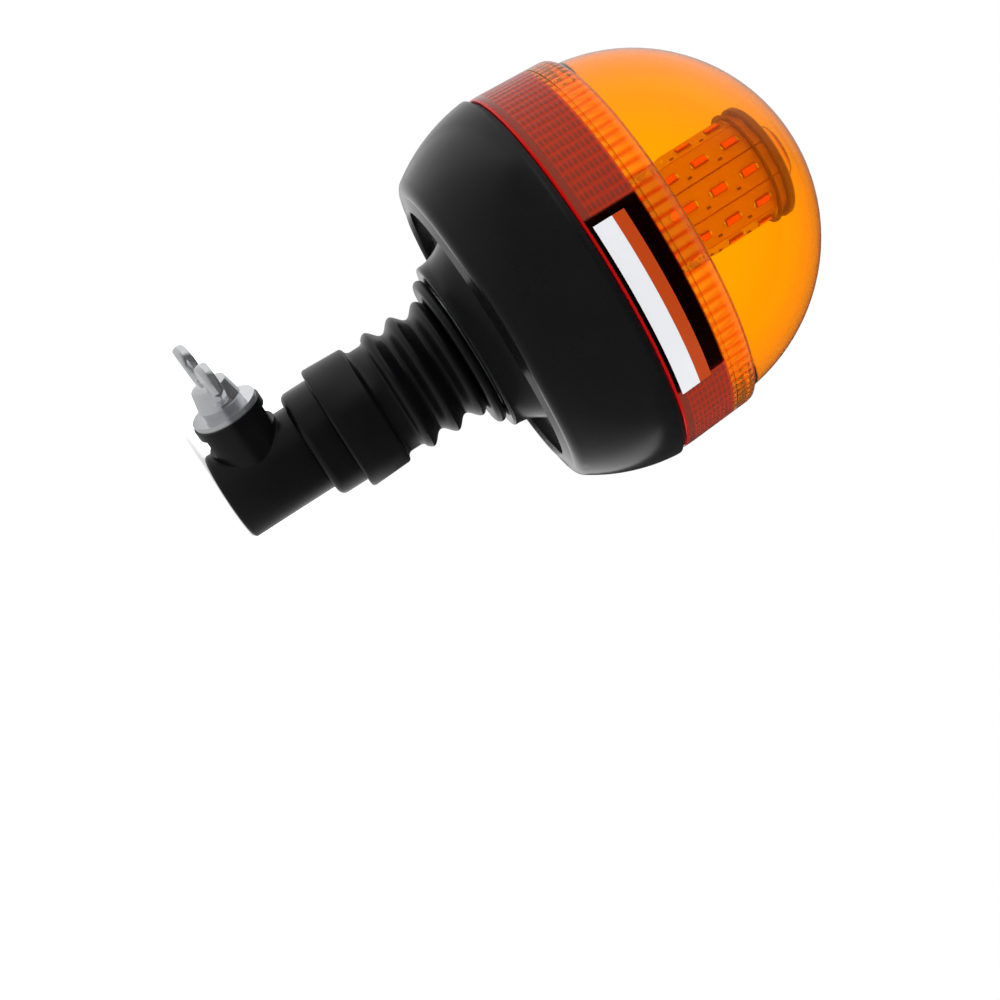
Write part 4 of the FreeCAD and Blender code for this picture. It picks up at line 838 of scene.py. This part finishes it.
def makeDiodes():
    t = diodes
    tree = towerTree()
    w, h, top = t["width"] / 2, t["length"] / 2, t["height"]
    rim, floor = t["rim"], top - t["well"]
    # depth, and how far it is drawn in at the sides and at the ends
    package = ((0, 0.1 * mm, 0.1 * mm), (0.1 * mm, 0, 0), (top - 0.15 * mm, 0.05 * mm, 0.05 * mm),
               (top, 0.2 * mm, 0.2 * mm), (top, rim, rim), (floor, rim + 0.2 * mm, rim + 0.2 * mm))
    gel = ((floor, rim + 0.15 * mm, rim + 0.15 * mm), (top - 0.05 * mm, rim + 0.1 * mm, rim + 0.1 * mm),
           (top + t["dome"], rim + 0.5 * mm, rim + 0.7 * mm))
    sets = [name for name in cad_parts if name.startswith("led_set")]
    rowsOf("diodePackages", blockRings([(x, w - a, h - b) for x, a, b in package]), tree,
           finishes["diode_package"], nodes=sets)
    rowsOf("diodeGel", blockRings([(x, w - a, h - b) for x, a, b in gel]), tree, finishes["phosphor_gel"])
    # end leads of the packages, and a small resistor beside each gap between rows
    lead, resistor = ([[v * mm for v in ring] for ring in t[part]] for part in ("lead", "resistor"))
    for end in (-1, 1):
        rowsOf("leadsLow" if end < 0 else "leadsHigh", blockRings(lead), tree, finishes["zinc_steel"],
               lift=end * (h + t["leadOut"]))
    rowsOf("stripResistors", blockRings(resistor), tree, finishes["resistor_glaze"],
           side=t["resistorSide"], lift=t["pitch"] / 2, rows=t["rows"] - 1)


makeDiodes()
print("diodes set")

# cap and ring at the tower's top, turned finer than the solids
crown = {"steps": 120, "edge": 0.6 * mm, "dish": 0.25 * mm, "pip": 6 * mm, "foot": 0.2 * mm, "hoop": 0.15 * mm}


def makeCrown():
    low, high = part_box("tower_cap")
    c, radius = crown, high.x
    edge, dish, foot, hoop = c["edge"], high.z - c["dish"], c["foot"], c["hoop"]
    cap = [(radius - foot, low.z), (radius, low.z + foot), (radius, high.z - edge), (radius - edge, high.z),
           (radius - 4 * edge, high.z), (radius - 5 * edge, dish), (c["pip"], dish),
           (c["pip"] - 0.5 * mm, high.z), (0, high.z), (0, low.z)]
    piece = makePiece("towerCap", lathe("towerCap", cap, c["steps"]), finishes["cap_plastic"])
    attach(piece, "head")
    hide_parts("tower_cap")
    low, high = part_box("strip_retainer")
    inner = diodes["corner"]
    ring = [(high.x - hoop, low.z), (high.x, low.z + hoop), (high.x, high.z - hoop), (high.x - hoop, high.z),
            (inner, high.z), (inner, low.z)]
    piece = makePiece("stripRing", lathe("stripRing", ring, c["steps"]), finishes["retainer_plastic"])
    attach(piece, "head")
    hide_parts("strip_retainer")


makeCrown()
print("tower crowned")

# contact spring, wound to its frame's length; the real one shortens as the contact goes in
spring = {"wire": 0.5 * mm, "turns": 3.5, "fixed": 53.5 * mm, "keep": 0.35, "steps": 28, "sides": 10}


def makeSpring():
    low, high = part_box("contact_spring")
    wire = spring["wire"] / 2
    mesh = runTree("spring", coilTree(), {
        "Radius": high.x - wire, "Wire": wire, "Turns": spring["turns"], "Height": high.z - low.z - 2 * wire,
        "Foot": low.z + wire, "Steps": spring["steps"], "Sides": spring["sides"],
        "Finish": finishes["spring_steel"]})
    piece = makePiece("contactSpring", mesh)
    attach(piece, "socket")
    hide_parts("contact_spring")
    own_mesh(piece)


makeSpring()
print("contact spring wound")

# floor, backdrop and soft studio light
studio = {
    "floorSize": 6.0, "floorTone": "F4F4F4", "floorDrop": 0.3 * mm, "worldSoft": 0.5, "floorGlow": 0.6,
    "through": 1.2,  # what clear parts let through of the backdrop
    # what gloss mirrors: way to the bright side, span of the change, strengths at its dark and bright ends
    "worldWay": (-1.0, 0.15, 0.0), "worldSpan": (0.0, 0.6), "worldGloss": (0.05, 0.7),
    "floorWay": (-0.4, 0.9, 0.0), "floorSpan": (-0.15, 0.22), "floorGloss": (0.15, 0.95),
    "lamps": [  # place, aim, width, height, watts
        ((-0.55, -0.45, 0.75), (0, 0, 0.12), 0.6, 0.6, 5.0),
        ((0.75, -0.15, 0.55), (0, 0, 0.12), 0.35, 0.7, 3.0),
        ((0.1, 0.7, 0.6), (0, 0, 0.12), 0.8, 0.4, 5.0),
    ],
}


def mirrored(tree, place, part, **settings):
    # strength that a glossy surface meets at a place of the world or the floor
    along = addNode(tree, "ShaderNodeVectorMath", {0: place, 1: studio[part + "Way"]}, operation="DOT_PRODUCT")
    near, far = studio[part + "Span"]
    dark, bright = studio[part + "Gloss"]
    return addNode(tree, "ShaderNodeMapRange", {
        "Value": along.outputs["Value"], "From Min": near, "From Max": far, "To Min": dark, "To Max": bright},
        **settings).outputs["Result"]


def seenRays(tree):
    # kinds of rays, and those that see the backdrop itself: from the camera or through clear plastic
    rays = addNode(tree, "ShaderNodeLightPath").outputs
    seen = addNode(tree, "ShaderNodeMath", {0: rays["Is Camera Ray"], 1: rays["Is Transmission Ray"]},
                   operation="MAXIMUM")
    return rays, seen.outputs[0]


def makeWorld():
    world = bpy.data.worlds.new("studio")
    scene.world = world
    world.use_nodes = True
    tree = world.node_tree
    tree.nodes.clear()
    rays, seen = seenRays(tree)
    around = addNode(tree, "ShaderNodeTexCoord").outputs["Generated"]
    side = mirrored(tree, around, "world", interpolation_type="SMOOTHSTEP")
    soft = addNode(tree, "ShaderNodeMix", {0: rays["Is Glossy Ray"], 2: studio["worldSoft"], 3: side})
    lifted = addNode(tree, "ShaderNodeMapRange", {
        "Value": rays["Is Transmission Ray"], "To Min": 1.0, "To Max": studio["through"]})
    strength = addNode(tree, "ShaderNodeMix", {0: seen, 2: soft.outputs[0], 3: lifted.outputs["Result"]})
    light = addNode(tree, "ShaderNodeBackground", {"Color": (1, 1, 1, 1), "Strength": strength.outputs[0]})
    addNode(tree, "ShaderNodeOutputWorld", {"Surface": light.outputs[0]})


def makeFloor():
    half, drop = studio["floorSize"] / 2, studio["floorDrop"]
    mesh = bpy.data.meshes.new("floor")
    mesh.from_pydata([(-half, -half, -drop), (half, -half, -drop), (half, half, -drop), (-half, half, -drop)],
                     [], [(0, 1, 2, 3)])
    # matt paper: pale to the camera and through the lens, toned where metal and gloss mirror it
    material, tree, shader = newMaterial("paleFloor", studio["floorTone"], 0.9)
    rays, seen = seenRays(tree)
    place = addNode(tree, "ShaderNodeTexCoord").outputs["Object"]
    lift = addNode(tree, "ShaderNodeMath", {0: seen, 1: studio["floorGlow"]}, operation="MULTIPLY")
    glow = addNode(tree, "ShaderNodeEmission", {"Color": (1, 1, 1, 1), "Strength": lift.outputs[0]})
    lit = addNode(tree, "ShaderNodeAddShader", {0: shader.outputs[0], 1: glow.outputs[0]})
    shown = addNode(tree, "ShaderNodeEmission", {
        "Color": (1, 1, 1, 1), "Strength": mirrored(tree, place, "floor")})
    # a ray through clear plastic counts as glossy too, so those are taken out
    gloss = addNode(tree, "ShaderNodeMath", {0: rays["Is Glossy Ray"], 1: rays["Is Transmission Ray"]},
                    operation="SUBTRACT", use_clamp=True)
    both = addNode(tree, "ShaderNodeMixShader", {0: gloss.outputs[0], 1: lit.outputs[0], 2: shown.outputs[0]})
    # from below the floor is clear
    back = addNode(tree, "ShaderNodeNewGeometry").outputs["Backfacing"]
    under = addNode(tree, "ShaderNodeMath", {0: back, 1: rays["Is Camera Ray"]}, operation="MULTIPLY")
    clear = addNode(tree, "ShaderNodeBsdfTransparent")
    mix = addNode(tree, "ShaderNodeMixShader", {0: under.outputs[0], 1: both.outputs[0], 2: clear.outputs[0]})
    tree.links.new(mix.outputs[0], tree.nodes["Material Output"].inputs["Surface"])
    mesh.materials.append(material)
    floor = addObject("floor", mesh)


def makeLamps():
    for index, (place, aim, width, height, watts) in enumerate(studio["lamps"]):
        data = bpy.data.lights.new("softbox%d" % index, "AREA")
        data.shape = "RECTANGLE"
        data.size = width
        data.size_y = height
        data.energy = watts
        lamp = addObject("softbox%d" % index, data)
        turn = (Vector(aim) - Vector(place)).to_track_quat("-Z", "Y").to_matrix().to_4x4()
        lamp.matrix_world = Matrix.Translation(place) @ turn
        # metal and clear plastic meet the studio's own tones instead of the lamps
        lamp.visible_glossy = False
        lamp.visible_transmission = False
        lamp.visible_camera = False


makeWorld()
makeFloor()
makeLamps()
scene.view_settings.view_transform = "Standard"
print("studio lit")
